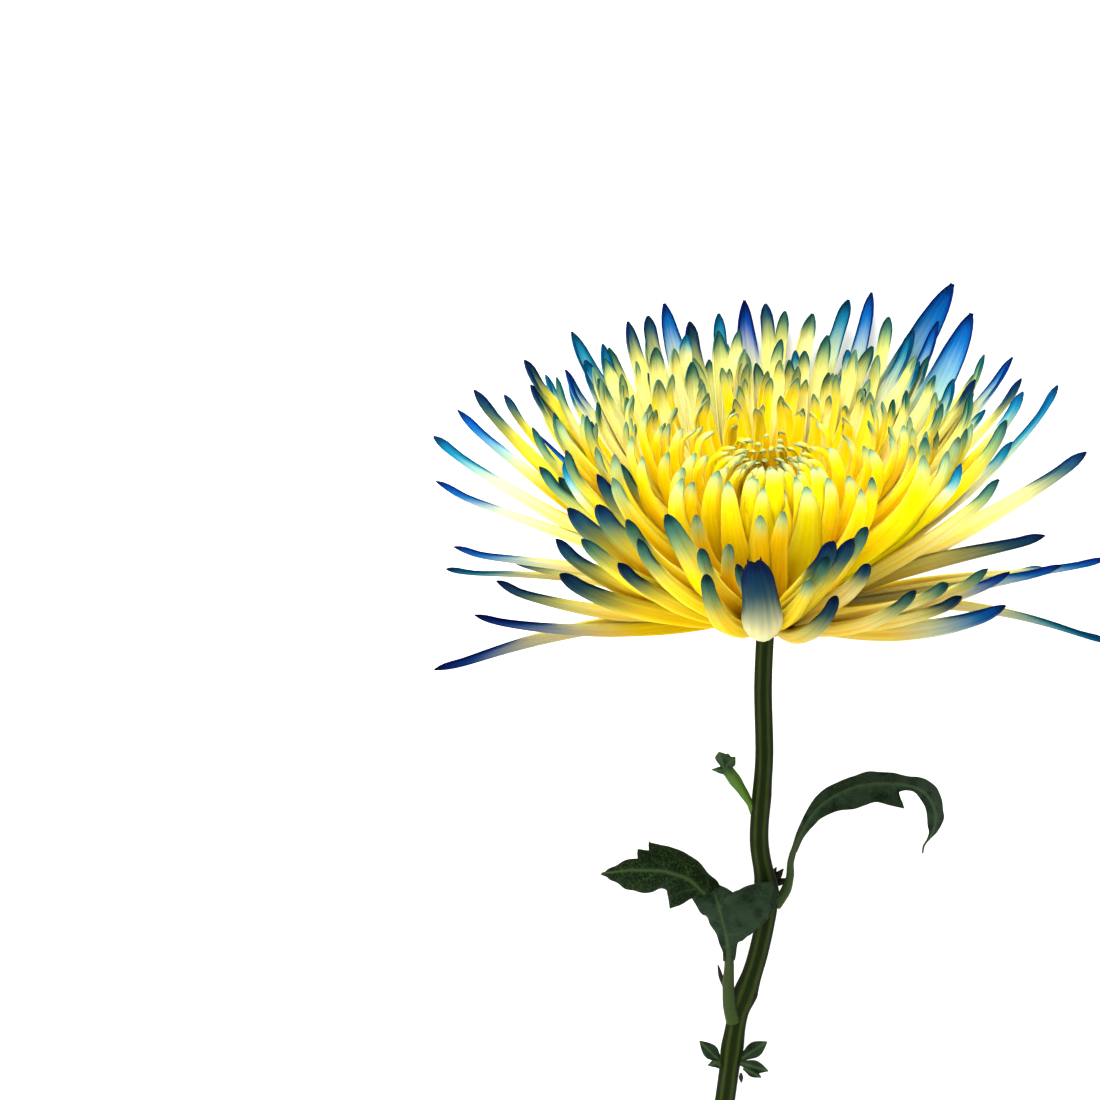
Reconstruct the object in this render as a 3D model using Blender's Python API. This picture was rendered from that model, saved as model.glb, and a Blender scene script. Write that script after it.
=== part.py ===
"""A cut spider chrysanthemum lying on a flat surface, in metres, +Z up.

The bloom's axis runs along +Y and rises a little, the stem runs back along -Y and comes down to the
surface, and the lowest petals and the stem's cut end carry the flower.
Inside the script lengths are millimetres from the neck, where the stem meets the bloom.
"""

import math
import random
from dataclasses import dataclass

import bmesh
import bpy
from mathutils import Matrix, Vector

MM = 0.001

# Where the neck is, in millimetres from the middle of the flower's footprint
NECK = Vector((-1.3, 55.1, 41.0))
AXIS_RISE = math.radians(25)

# Measured places lie on a plane through the neck, seen from straight above
SIGHT_CENTRE = Vector((-49.5, 17.9))
SIGHT_DISTANCE = 1200.0

# The spiral of petals: tips lie on a shallow dish round the axis
FAN_COUNT = 140
FAN_SEED = 11
FAN_RADIUS = 60.0
EYE_RADIUS = 12.5
DISH_HEIGHT = 47.0
DISH_RISE = 3.5
GOLDEN_ANGLE = math.pi * (3 - math.sqrt(5))
# How the petals on the side away from the surface close in over the eye
FRONT_SPARSE = 0.45
FRONT_CLOSE = 0.9
FRONT_DROP = 3.5
FRONT_WIDTH = 0.5
FRONT_LEAN = 0.22
FRONT_CURL = 0.42
BACK_WIDTH = 0.25

# The lowest petals, pressed along the surface under the bloom
SPLAY_COUNT = 7
SPLAY_SEED = 5
SPLAY_REACH = 78.0
SPLAY_SPREAD = 0.72

# The small florets that curl in over the eye
EYE_COUNT = 15
EYE_SEED = 3
EYE_HEIGHT = 41.0

# The receptacle's outline from the neck up, as radius and height
RECEPTACLE = ((3.2, 0.4), (6.5, 3.5), (13.5, 9.5), (17.0, 17.5), (13.5, 25.5), (0.0, 29.0))
RECEPTACLE_SIDES = 12
ROOT_RIM = 5.0
ROOT_LOW = 4.0
ROOT_TOP = 15.0

# The green cup's outline, outside then inside, as radius and height
INVOLUCRE = ((2.6, -0.65), (4.2, -0.5), (6.1, 1.2), (5.5, 1.8), (3.45, 0.05))
INVOLUCRE_BRACTS = 9
INVOLUCRE_SCALLOP = 0.1

PETAL_WIDTH = 5.9
OUTER_FULLNESS = 1.12
PETAL_DEPTH = 0.33
PETAL_ROOT_WIDTH = 0.62
PETAL_TIP_WIDTH = 0.42
PETAL_TAPER = 0.85
SIDE_TURN = 0.75
OUTER_STATIONS = (0.0, 0.35, 0.7, 0.94)
PRESSED_STATIONS = (0.0, 0.35, 0.6, 0.78, 0.92)
INNER_STATIONS = (0.0, 0.5, 0.85)
FLORET_STATIONS = (0.0, 0.55, 0.85)
# Corners round a petal, sideways in half widths and backward in depths
BROAD_SECTION = ((-1.0, -0.3), (-0.42, 0.7), (0.42, 0.7), (1.0, -0.3))
SLIM_SECTION = ((-1.0, -0.35), (0.0, 0.8), (1.0, -0.35))
LEAST_CLEARANCE = 1.0

# Outer petals: the tip's place across and up from the neck as seen from above, its height along
# the bloom's axis, the petal's width, and its bow: above 0 it cups inward, below 0 it droops
OUTER_PETALS = (
    (-76.6, 43.5, 50, 4.6, 0.06),
    (-76.1, 32.7, 38, 4.4, -0.1),
    (-71.1, 49.5, 54, 4.6, 0.18),
    (-67.4, 54.3, 56, 6.4, 0.18),
    (-60.7, 53.1, 52, 4.4, 0.18),
    (-56.4, 61.0, 55, 6.0, 0.18),
    (-54.3, 55.7, 50, 5.4, 0.18),
    (-47.0, 58.7, 48, 5.4, 0.18),
    (-44.9, 67.9, 56, 6.0, 0.18),
    (-41.6, 61.4, 50, 5.6, 0.18),
    (-38.2, 64.9, 50, 5.6, 0.18),
    (-32.2, 70.2, 54, 5.4, 0.18),
    (-27.1, 71.5, 54, 5.0, 0.18),
    (-23.5, 74.3, 55, 6.4, 0.18),
    (-17.0, 61.0, 47, 5.6, 0.18),
    (-5.0, 63.0, 48, 5.6, 0.18),
    (-17.7, 70.2, 50, 5.0, 0.18),
    (-11.0, 72.0, 52, 4.8, 0.18),
    (-5.3, 75.0, 54, 6.4, 0.18),
    (0.4, 74.3, 53, 4.8, 0.18),
    (4.6, 72.7, 51, 4.2, 0.18),
    (10.8, 72.2, 52, 5.4, 0.18),
    (19.3, 75.2, 54, 5.0, 0.18),
    (24.6, 77.0, 55, 5.0, 0.18),
    (28.4, 71.3, 52, 4.6, 0.18),
    (35.0, 67.9, 52, 5.0, 0.18),
    (40.3, 70.2, 54, 5.0, 0.18),
    (43.2, 78.9, 60, 7.4, 0.18),
    (47.6, 72.2, 57, 6.6, 0.18),
    (51.0, 62.6, 54, 4.0, 0.18),
    (57.5, 61.9, 55, 5.0, 0.18),
    (59.6, 56.8, 54, 5.4, 0.18),
    (49.0, 56.6, 50, 6.4, 0.18),
    (67.9, 55.4, 56, 5.0, 0.16),
    (74.1, 40.0, 46, 6.4, 0.1),
    (57.3, 41.9, 45, 4.8, 0.18),
    (54.5, 33.1, 40, 5.0, 0.18),
    (64.4, 20.7, 26, 5.6, -0.12),
    (63.7, 12.9, 12, 3.6, -0.12),
    (78.9, 15.6, 20, 4.2, 0.0),
    (68.3, 13.8, 19, 5.4, 0.1),
    (56.4, 12.4, 20, 5.0, 0.18),
    (51.5, 12.4, 32, 5.0, 0.18),
    (55.2, 4.6, 23, 6.0, 0.26),
    (44.9, 6.4, 29, 5.0, 0.24),
    (41.6, 9.4, 32, 4.6, 0.18),
    (78.9, -3.7, -2, 4.2, -0.3),
    (34.5, 8.0, 32, 5.0, 0.3),
    (-71.8, 17.5, 20, 4.2, -0.22),
    (-73.4, 12.7, 14, 3.6, -0.16),
    (-58.9, 15.4, 18, 4.4, -0.05),
    (-62.1, 9.7, 14, 5.0, 0.24),
    (-66.9, 2.5, 7, 5.4, 0.24),
    (-75.9, -10.4, -11, 5.4, -0.14),
    (-48.5, 19.1, 37, 6.4, 0.2),
    (-46.9, 11.5, 30, 6.2, 0.22),
    (-45.3, 26.7, 44, 7.4, 0.18),
    (-42.1, 20.0, 40, 5.8, 0.18),
    (-2.3, 14.5, 47, 8.4, 0.3),
    (-13.6, 11.7, 40, 5.4, 0.34),
    (-6.9, 13.3, 42, 4.6, 0.18),
    (-15.0, 17.0, 44, 5.0, 0.18),
    (15.9, 18.6, 46, 6.4, 0.18),
    (20.5, 19.3, 45, 6.4, 0.18),
    (23.5, 21.9, 46, 5.0, 0.18),
    (23.5, 14.0, 38, 5.2, 0.18),
    (14.5, 15.0, 42, 5.2, 0.18),
    (16.3, 6.2, 30, 5.0, 0.4),
    (10.4, 10.1, 38, 4.6, 0.18),
    (-52.6, 36.0, 43, 6.2, 0.18),
    (-47.7, 33.7, 40, 6.0, 0.18),
    (-38.5, 27.8, 48, 7.0, 0.18),
    (-39.1, 34.8, 42, 7.2, 0.18),
    (-33.9, 37.3, 43, 6.2, 0.18),
    (-32.0, 24.2, 46, 5.8, 0.18),
    (-29.6, 19.4, 43, 5.6, 0.22),
    (-33.9, 13.9, 36, 5.8, 0.2),
    (-22.5, 25.2, 48, 6.8, 0.24),
    (-15.7, 25.2, 40, 5.2, 0.26),
    (-8.7, 18.2, 37, 4.8, 0.3),
    (-1.2, 25.2, 40, 4.8, 0.3),
    (4.2, 26.2, 41, 5.2, 0.3),
)
OUTER_SEED = 21

# The stem's middle line across and up from the neck as seen from above, to its cut end
STEM_LINE = (
    (0.0, -1.1),
    (-0.5, -13.8),
    (-0.2, -28.3),
    (-0.7, -37.3),
    (-1.4, -48.8),
    (0.0, -58.0),
    (0.6, -63.7),
    (-1.6, -74.8),
    (-4.4, -83.5),
    (-6.2, -88.5),
    (-7.6, -96.6),
    (-9.2, -108.1),
    (-12.5, -130.0),
    (-16.0, -155.0),
    (-18.0, -184.0),
)
STEM_LENGTH = 184.0
STEM_RADIUS = 2.06
STEM_REST = 2.15
STEM_RIBS = 6
STEM_RIB_DEPTH = 0.1
STEM_RINGS = 46
STEM_NODES = ((-61.0, 0.5), (-86.5, 0.5), (-99.5, 0.35), (-132.0, 0.35), (-158.0, 0.35))
NODE_SPREAD = 3.6

BLADE_THICKNESS = 0.8
STALK_RADIUS = 1.05

# Leaf blades from the stalk to the tip: the lower edge, the midrib and the upper edge, each as
# across, up and toward the eye from the neck
LEFT_BLADE = (
    ((-9.3, -76.4, -21.0), (-8.1, -76.4, -21.0), (-6.9, -76.4, -20.0)),
    ((-10.0, -73.2, -20.0), (-8.5, -73.0, -20.0), (-6.4, -72.6, -18.0)),
    ((-12.2, -68.5, -19.0), (-8.6, -69.2, -18.0), (-4.0, -69.6, -14.0)),
    ((-14.7, -65.3, -18.5), (-9.0, -65.6, -17.0), (-1.6, -66.0, -12.0)),
    ((-17.0, -62.3, -18.5), (-10.0, -62.6, -16.5), (2.6, -61.4, -12.0)),
    ((-19.0, -61.9, -18.5), (-11.4, -60.8, -16.5), (1.6, -58.6, -13.0)),
    ((-20.6, -62.6, -18.5), (-12.8, -59.4, -16.5), (-4.6, -58.6, -16.0)),
    ((-22.1, -64.6, -19.0), (-14.6, -58.3, -16.5), (-8.6, -57.4, -18.0)),
    ((-22.3, -60.7, -18.5), (-17.6, -57.2, -16.5), (-12.9, -55.6, -19.0)),
    ((-24.0, -60.2, -18.5), (-21.6, -56.2, -16.5), (-18.2, -52.0, -19.0)),
    ((-27.0, -61.0, -19.0), (-24.6, -55.6, -17.0), (-22.6, -50.6, -19.0)),
    ((-29.4, -60.6, -19.5), (-27.0, -55.3, -17.5), (-26.9, -49.0, -19.5)),
    ((-31.4, -60.0, -20.0), (-28.9, -55.3, -18.5), (-27.6, -51.6, -20.0)),
    ((-33.2, -59.2, -21.0), (-30.9, -55.4, -19.5), (-29.6, -50.9, -21.0)),
    ((-35.0, -57.9, -22.0), (-33.6, -55.8, -21.0), (-31.6, -53.8, -22.0)),
    ((-37.8, -56.9, -23.5), (-37.6, -56.5, -23.5), (-37.2, -56.1, -23.5)),
)
LEFT_STALK = ((-8.9, -88.6, -25.5), (-8.9, -83.0, -24.0), (-8.3, -77.5, -21.8), (-8.4, -72.4, -19.8))

RIGHT_BLADE = (
    ((7.7, -50.4, -14.0), (6.9, -50.6, -14.0), (6.2, -50.2, -14.0)),
    ((9.9, -47.4, -11.0), (9.2, -46.0, -12.0), (8.5, -44.8, -12.0)),
    ((12.2, -44.4, -7.5), (12.2, -41.8, -9.5), (11.7, -39.6, -10.0)),
    ((16.2, -42.1, -4.5), (16.2, -38.6, -7.0), (15.6, -36.1, -8.5)),
    ((21.0, -41.5, -3.0), (20.4, -36.6, -5.5), (19.3, -34.5, -8.0)),
    ((25.8, -40.2, -3.0), (25.2, -35.5, -5.0), (24.6, -32.9, -8.0)),
    ((31.7, -41.8, -5.0), (29.0, -35.6, -5.5), (28.0, -33.4, -8.5)),
    ((30.6, -38.2, -5.5), (31.4, -35.9, -6.0), (31.0, -33.8, -9.0)),
    ((33.4, -38.8, -7.5), (33.6, -36.3, -7.0), (34.4, -34.0, -10.0)),
    ((34.9, -38.2, -9.0), (36.2, -37.1, -8.5), (37.6, -34.9, -11.5)),
    ((36.4, -40.3, -12.0), (38.2, -39.4, -11.0), (40.2, -38.0, -14.0)),
    ((37.2, -42.8, -14.5), (39.1, -42.4, -14.0), (41.2, -41.9, -16.5)),
    ((37.4, -46.2, -17.0), (38.9, -45.8, -17.0), (40.8, -45.6, -19.0)),
    ((36.9, -48.6, -19.5), (37.8, -48.4, -19.5), (38.9, -48.4, -21.0)),
    ((36.0, -51.6, -22.5), (36.2, -51.8, -22.5), (36.5, -51.6, -22.5)),
)
RIGHT_STALK = ((4.8, -62.4, -21.5), (5.6, -59.0, -19.8), (5.9, -55.2, -17.0), (7.0, -50.0, -13.6))

SHOOT_LINE = ((-4.6, -41.3, -15.2), (-5.6, -37.6, -14.4), (-7.2, -34.7, -13.3), (-8.8, -31.8, -12.1))
SHOOT_RADII = (1.1, 1.0, 1.35, 1.1)
SHOOT_BRACTS = (
    ((-8.4, -31.8, -12.0), (-12.4, -32.8, -11.2), 1.0),
    ((-8.6, -31.6, -12.0), (-10.9, -28.7, -11.0), 1.1),
    ((-8.3, -31.6, -12.0), (-7.4, -29.6, -11.4), 0.9),
)

# Low leaflets: each lobe's root, tip and half width
LEAFLET_LEFT = (
    ((-11.9, -99.4, -30.4), (-15.4, -95.4, -30.4), 1.7),
    ((-11.9, -99.6, -30.4), (-14.2, -101.0, -29.6), 1.4),
    ((-11.9, -99.2, -30.4), (-12.4, -95.4, -30.4), 1.1),
)
LEAFLET_RIGHT = (
    ((-3.9, -98.6, -30.2), (0.6, -95.2, -30.4), 1.7),
    ((-3.9, -99.0, -30.2), (0.8, -101.6, -30.0), 1.9),
    ((-3.9, -98.8, -30.2), (-2.2, -94.6, -30.4), 1.1),
)

PETAL_YELLOW = (0.93, 0.72, 0.03)
BRACT_GREEN = (0.13, 0.19, 0.05)
STEM_GREEN = (0.045, 0.075, 0.022)
LEAF_GREEN = (0.02, 0.045, 0.016)
SHOOT_GREEN = (0.10, 0.22, 0.03)

AXIS = Vector((0, math.cos(AXIS_RISE), math.sin(AXIS_RISE)))
FRONT = Vector((0, -math.sin(AXIS_RISE), math.cos(AXIS_RISE)))
RIGHT = Vector((1, 0, 0))


def mix(start, end, share):
    """The value a share of the way from start to end."""
    return start + (end - start) * share


def smooth_step(share):
    """A soft start and stop between 0 and 1."""
    share = min(max(share, 0.0), 1.0)
    return share * share * (3 - 2 * share)


def sighted(across, up, toward):
    """The point at this depth on the line of sight through a measured place."""
    shrink = (SIGHT_DISTANCE - toward) / SIGHT_DISTANCE
    return Vector(
        (
            SIGHT_CENTRE.x + (across - SIGHT_CENTRE.x) * shrink,
            SIGHT_CENTRE.y + (up - SIGHT_CENTRE.y) * shrink,
            toward,
        )
    )


def round_axis(azimuth):
    """The direction out from the bloom's axis; azimuth 0 faces away from the surface."""
    return FRONT * math.cos(azimuth) + RIGHT * math.sin(azimuth)


def above_surface(point, clearance):
    """The point lifted softly so that it stays this far above the surface."""
    height = point.z + NECK.z
    if height < 2 * clearance:
        height = clearance * (1 + math.exp(height / clearance - 2))
    return Vector((point.x, point.y, height - NECK.z))


@dataclass(frozen=True)
class Petal:
    """One ray floret, rooted on the receptacle and reaching to its tip."""

    azimuth: float
    radius: float
    height: float
    width: float
    lean: float
    curl: float
    bend: float
    twist: float
    root: float
    stations: tuple
    corners: tuple

    def middle(self, share):
        """A point of the petal's middle line, from its root at 0 to its tip at 1."""
        start = Vector(
            (
                ROOT_RIM * math.cos(self.root * math.pi / 2),
                mix(ROOT_LOW, ROOT_TOP, math.sin(self.root * math.pi / 2)),
            )
        )
        end = Vector((self.radius, self.height))
        reach = (end - start).length
        slope = math.atan2(end.x - start.x, end.y - start.y)
        rising, arriving = slope + self.lean, slope - self.curl
        first = start + Vector((math.sin(rising), math.cos(rising))) * reach * 0.36
        second = end - Vector((math.sin(arriving), math.cos(arriving))) * reach * 0.36
        rest = 1 - share
        flat = (
            start * rest**3
            + first * 3 * share * rest**2
            + second * 3 * share**2 * rest
            + end * share**3
        )
        outward = round_axis(self.azimuth)
        sideways = AXIS.cross(outward) * self.bend * reach * math.sin(math.pi * share) * share
        point = outward * flat.x + AXIS * flat.y + sideways
        return above_surface(point, LEAST_CLEARANCE)

    def axes_at(self, share):
        """The petal's sideways and backward directions at a share of its length."""
        step = 0.02
        ahead = self.middle(min(share + step, 1.0))
        behind = self.middle(max(share - step, 0.0))
        along = (ahead - behind).normalized()
        sideways = AXIS.cross(round_axis(self.azimuth))
        back = sideways.cross(along).normalized()
        sideways = along.cross(back).normalized()
        # At the sides a petal turns its back away from the surface
        facing = math.sin(self.azimuth) * smooth_step(math.cos(self.azimuth) / 0.75 + 1)
        turn = Matrix.Rotation(self.twist * share - SIDE_TURN * facing, 3, along)
        return turn @ sideways, turn @ back

    def half_width(self, share):
        """Half the petal's width: slim at the root, fullest at the middle, rounded at the tip."""
        body = mix(PETAL_ROOT_WIDTH, 1.0, smooth_step(share / 0.5))
        body *= mix(1.0, PETAL_TIP_WIDTH, max(share - 0.5, 0.0) / 0.5)
        reach = (self.middle(1.0) - self.middle(0.0)).length
        left = (1 - share) * reach / (PETAL_TAPER * self.width)
        if left < 1:
            body *= max(1 - (1 - left) ** 2, 0.05) ** 0.68
        return self.width / 2 * body

    def section(self, share):
        """The corners round the petal: its two edges, and a back that stands out."""
        centre = self.middle(share)
        sideways, back = self.axes_at(share)
        half = self.half_width(share)
        depth = max(self.width * PETAL_DEPTH * (0.55 + 0.45 * half / (self.width / 2)), 0.8)
        return [centre + sideways * half * x + back * depth * y for x, y in self.corners]


def keep_above(point):
    """The point in metres from the footprint's middle, never below the surface."""
    place = point + NECK
    return Vector((place.x, place.y, max(place.z, 0.0))) * MM


def skin_sections(sections, tip=None):
    """A closed mesh through rings of points, capped at the start and at the end or at a tip."""
    mesh = bmesh.new()
    rings = [[mesh.verts.new(keep_above(point)) for point in ring] for ring in sections]
    count = len(rings[0])
    for near, far in zip(rings, rings[1:]):
        for i in range(count):
            j = (i + 1) % count
            mesh.faces.new((near[i], near[j], far[j], far[i]))
    mesh.faces.new(list(reversed(rings[0])))
    if tip is None:
        mesh.faces.new(rings[-1])
    else:
        point = mesh.verts.new(keep_above(tip))
        for i in range(count):
            mesh.faces.new((rings[-1][i], rings[-1][(i + 1) % count], point))
    return finished(mesh, "section")


def finished(mesh, name):
    """The bmesh as a triangulated mesh with its faces pointing out."""
    bmesh.ops.recalc_face_normals(mesh, faces=mesh.faces)
    bmesh.ops.triangulate(mesh, faces=mesh.faces)
    result = bpy.data.meshes.new(name)
    mesh.to_mesh(result)
    mesh.free()
    return result


def petal_mesh(petal):
    """The closed solid of one petal."""
    sections = [petal.section(share) for share in petal.stations]
    return skin_sections(sections, petal.middle(1.0))


def fan_petals():
    """The spiral of petals from the outside of the bloom to the eye."""
    draws = random.Random(FAN_SEED)
    petals = []
    for i in range(FAN_COUNT):
        share = (i + 0.5) / FAN_COUNT
        radius = math.sqrt(mix(FAN_RADIUS**2, EYE_RADIUS**2, share**0.8))
        inner = 1 - radius / FAN_RADIUS
        azimuth = i * GOLDEN_ANGLE + draws.gauss(0, 0.07)
        # Petals in front of the eye close in over it and show their broad backs
        front = max(math.cos(azimuth), 0.0)
        if front > FRONT_SPARSE and i % 2:
            continue
        radius = mix(radius, EYE_RADIUS, FRONT_CLOSE * front)
        height = DISH_HEIGHT + DISH_RISE * (1 - inner) ** 2 * (1 - front)
        height -= FRONT_DROP * (1 - inner) * front
        back = max(-math.cos(azimuth), 0.0)
        wide = PETAL_WIDTH * mix(1.0, 0.5, inner)
        wide *= 1 + FRONT_WIDTH * front + BACK_WIDTH * back * (1 - inner)
        petals.append(
            Petal(
                azimuth=azimuth,
                radius=radius * draws.uniform(0.95, 1.05),
                height=height + draws.uniform(-3.0, 3.0),
                width=wide * draws.uniform(0.82, 1.12),
                lean=mix(0.16, 0.42, inner) + draws.uniform(-0.05, 0.05) + FRONT_LEAN * front,
                curl=mix(0.2, 1.25, inner) + draws.uniform(-0.08, 0.12) + FRONT_CURL * front,
                bend=draws.uniform(-0.09, 0.09),
                twist=draws.uniform(-0.5, 0.5),
                root=mix(0.15, 0.9, share),
                stations=INNER_STATIONS,
                corners=SLIM_SECTION,
            )
        )
    return petals


def outer_petals():
    """The long petals of the outline, each carried to its measured place."""
    draws = random.Random(OUTER_SEED)
    petals = []
    for across, up, height, width, bow in OUTER_PETALS:
        # The tip's depth follows from its height along the axis and its place in the view
        steepness = math.cos(AXIS_RISE) / math.sin(AXIS_RISE)
        level = height * math.sin(AXIS_RISE) + (height * math.cos(AXIS_RISE) - up) * steepness
        toward = level / (1 - (up - SIGHT_CENTRE.y) * steepness / SIGHT_DISTANCE)
        tip = sighted(across, up, toward)
        radius = math.hypot(tip.dot(FRONT), tip.dot(RIGHT))
        back = max(-tip.dot(FRONT), 0.0) / tip.length
        petals.append(
            Petal(
                azimuth=math.atan2(tip.dot(RIGHT), tip.dot(FRONT)),
                radius=radius,
                height=height,
                width=width * (OUTER_FULLNESS + BACK_WIDTH * back),
                lean=bow + draws.uniform(-0.03, 0.03),
                curl=bow + draws.uniform(-0.04, 0.08),
                bend=draws.uniform(-0.06, 0.06),
                twist=draws.uniform(-0.4, 0.4),
                root=0.0,
                stations=OUTER_STATIONS,
                corners=BROAD_SECTION,
            )
        )
    return petals


def splayed_petals():
    """The lowest petals on the side of the surface, bent along it."""
    draws = random.Random(SPLAY_SEED)
    petals = []
    for i in range(SPLAY_COUNT):
        share = i / (SPLAY_COUNT - 1)
        petals.append(
            Petal(
                azimuth=math.pi + SPLAY_SPREAD * mix(-1, 1, share) + draws.uniform(-0.04, 0.04),
                radius=SPLAY_REACH * draws.uniform(0.95, 1.03),
                height=draws.uniform(23.0, 27.0),
                width=PETAL_WIDTH * draws.uniform(0.95, 1.15),
                lean=0.1,
                curl=0.16,
                bend=draws.uniform(-0.05, 0.05),
                twist=0.0,
                root=0.0,
                stations=PRESSED_STATIONS,
                corners=BROAD_SECTION,
            )
        )
    return petals


def eye_florets():
    """The small florets that curl in over the eye."""
    draws = random.Random(EYE_SEED)
    florets = []
    for i in range(EYE_COUNT):
        share = math.sqrt((i + 0.5) / EYE_COUNT)
        florets.append(
            Petal(
                azimuth=i * GOLDEN_ANGLE,
                radius=(EYE_RADIUS - 5.0) * share,
                height=EYE_HEIGHT + 3.5 * share + draws.uniform(-0.8, 0.8),
                width=2.5,
                lean=0.35,
                curl=mix(0.9, 1.5, share),
                bend=0.0,
                twist=0.0,
                root=mix(0.95, 0.62, share),
                stations=FLORET_STATIONS,
                corners=SLIM_SECTION,
            )
        )
    return florets


def receptacle_mesh():
    """The domed core that the petals grow from."""
    rings = []
    for radius, height in RECEPTACLE[:-1]:
        turn = 2 * math.pi / RECEPTACLE_SIDES
        rings.append(
            [round_axis(i * turn) * radius + AXIS * height for i in range(RECEPTACLE_SIDES)]
        )
    return skin_sections(rings, AXIS * RECEPTACLE[-1][1])


def fused(name, meshes):
    """One body from overlapping closed meshes, with sealed hollows filled and scraps dropped."""
    others = bpy.data.collections.new(name + "_pieces")
    bpy.context.scene.collection.children.link(others)
    for mesh in meshes[1:]:
        others.objects.link(bpy.data.objects.new(name + "_piece", mesh))
    body = bpy.data.objects.new(name + "_body", meshes[0])
    bpy.context.scene.collection.objects.link(body)
    union = body.modifiers.new("union", "BOOLEAN")
    union.operation = "UNION"
    union.operand_type = "COLLECTION"
    union.collection = others
    union.solver = "MANIFOLD"
    graph = bpy.context.evaluated_depsgraph_get()
    result = bpy.data.meshes.new_from_object(body.evaluated_get(graph))
    for piece in list(others.objects):
        bpy.data.objects.remove(piece)
    bpy.data.collections.remove(others)
    bpy.data.objects.remove(body)
    return outer_skin(result)


def outer_skin(result):
    """The mesh with only its largest closed surface left."""
    mesh = bmesh.new()
    mesh.from_mesh(result)
    bmesh.ops.triangulate(mesh, faces=mesh.faces)
    waiting = set(mesh.faces)
    surfaces = []
    while waiting:
        surface = {waiting.pop()}
        reached = list(surface)
        while reached:
            face = reached.pop()
            for edge in face.edges:
                fresh = waiting.intersection(edge.link_faces)
                waiting -= fresh
                surface |= fresh
                reached.extend(fresh)
        surfaces.append(surface)
    surfaces.sort(key=len, reverse=True)
    spare = [face for surface in surfaces[1:] for face in surface]
    bmesh.ops.delete(mesh, geom=spare, context="FACES")
    mesh.to_mesh(result)
    mesh.free()
    return result


def smooth_line(points, count):
    """Evenly shared points on a smooth curve through the given ones."""
    line = []
    last = len(points) - 1
    for i in range(count):
        place = i / (count - 1) * last
        k = min(int(place), last - 1)
        t = place - k
        before, start = points[max(k - 1, 0)], points[k]
        end, after = points[k + 1], points[min(k + 2, last)]
        line.append(
            (
                start * 2
                + (end - before) * t
                + (before * 2 - start * 5 + end * 4 - after) * t**2
                + (start * 3 - before - end * 3 + after) * t**3
            )
            / 2
        )
    return line


def rings_along(line, radius_at, sides, ribs=0, rib_depth=0.0):
    """Rings of points round a line, turned as little as possible from one to the next."""
    rings = []
    sideways = Vector((1, 0, 0))
    for i, centre in enumerate(line):
        along = (line[min(i + 1, len(line) - 1)] - line[max(i - 1, 0)]).normalized()
        sideways = (sideways - along * sideways.dot(along)).normalized()
        upward = along.cross(sideways)
        ring = []
        for k in range(sides):
            turn = 2 * math.pi * k / sides
            radius = radius_at(i / (len(line) - 1)) * (1 + rib_depth * math.cos(ribs * turn))
            ring.append(centre + (sideways * math.cos(turn) + upward * math.sin(turn)) * radius)
        rings.append(ring)
    return rings


def stem_depth(up):
    """How far below the neck the stem's middle lies, easing down to rest on the surface."""
    share = min(max(-up / STEM_LENGTH, 0.0), 1.0)
    low = STEM_REST - NECK.z
    return low * (1 - (1 - share) ** 2)


def stem_line():
    """The stem's middle line from the neck to the cut end."""
    points = [sighted(across, up, stem_depth(up)) for across, up in STEM_LINE]
    return smooth_line(points, STEM_RINGS)


def stem_mesh():
    """The ribbed stem with its swollen nodes."""
    line = stem_line()

    def radius_at(share):
        up = line[round(share * (STEM_RINGS - 1))].y
        swell = sum(
            size * math.exp(-(((up - place) / NODE_SPREAD) ** 2)) for place, size in STEM_NODES
        )
        return STEM_RADIUS * mix(0.94, 1.08, smooth_step(share * 1.6)) + swell

    rings = rings_along(line, radius_at, STEM_RIBS * 2, STEM_RIBS, STEM_RIB_DEPTH)
    return skin_sections(rings)


def tube_mesh(points, radii, sides=7):
    """A round stalk through a few points, its radius following the list."""
    line = smooth_line([sighted(*point) for point in points], 9)

    def radius_at(share):
        place = share * (len(radii) - 1)
        k = min(int(place), len(radii) - 2)
        return mix(radii[k], radii[k + 1], place - k)

    return skin_sections(rings_along(line, radius_at, sides))


def bract_mesh(root, tip, half_width):
    """A small pointed scale, thickest past its root."""
    start, end = sighted(*root), sighted(*tip)
    line = [start.lerp(end, share) for share in (0.0, 0.35, 0.7)]
    widths = (0.6, 1.0, 0.75)
    rings = rings_along(line, lambda share: half_width * widths[round(share * 2)], 6)
    for ring, centre in zip(rings, line):
        for point in ring:
            point.z = mix(centre.z, point.z, 0.62)
    return skin_sections(rings, end)


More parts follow.
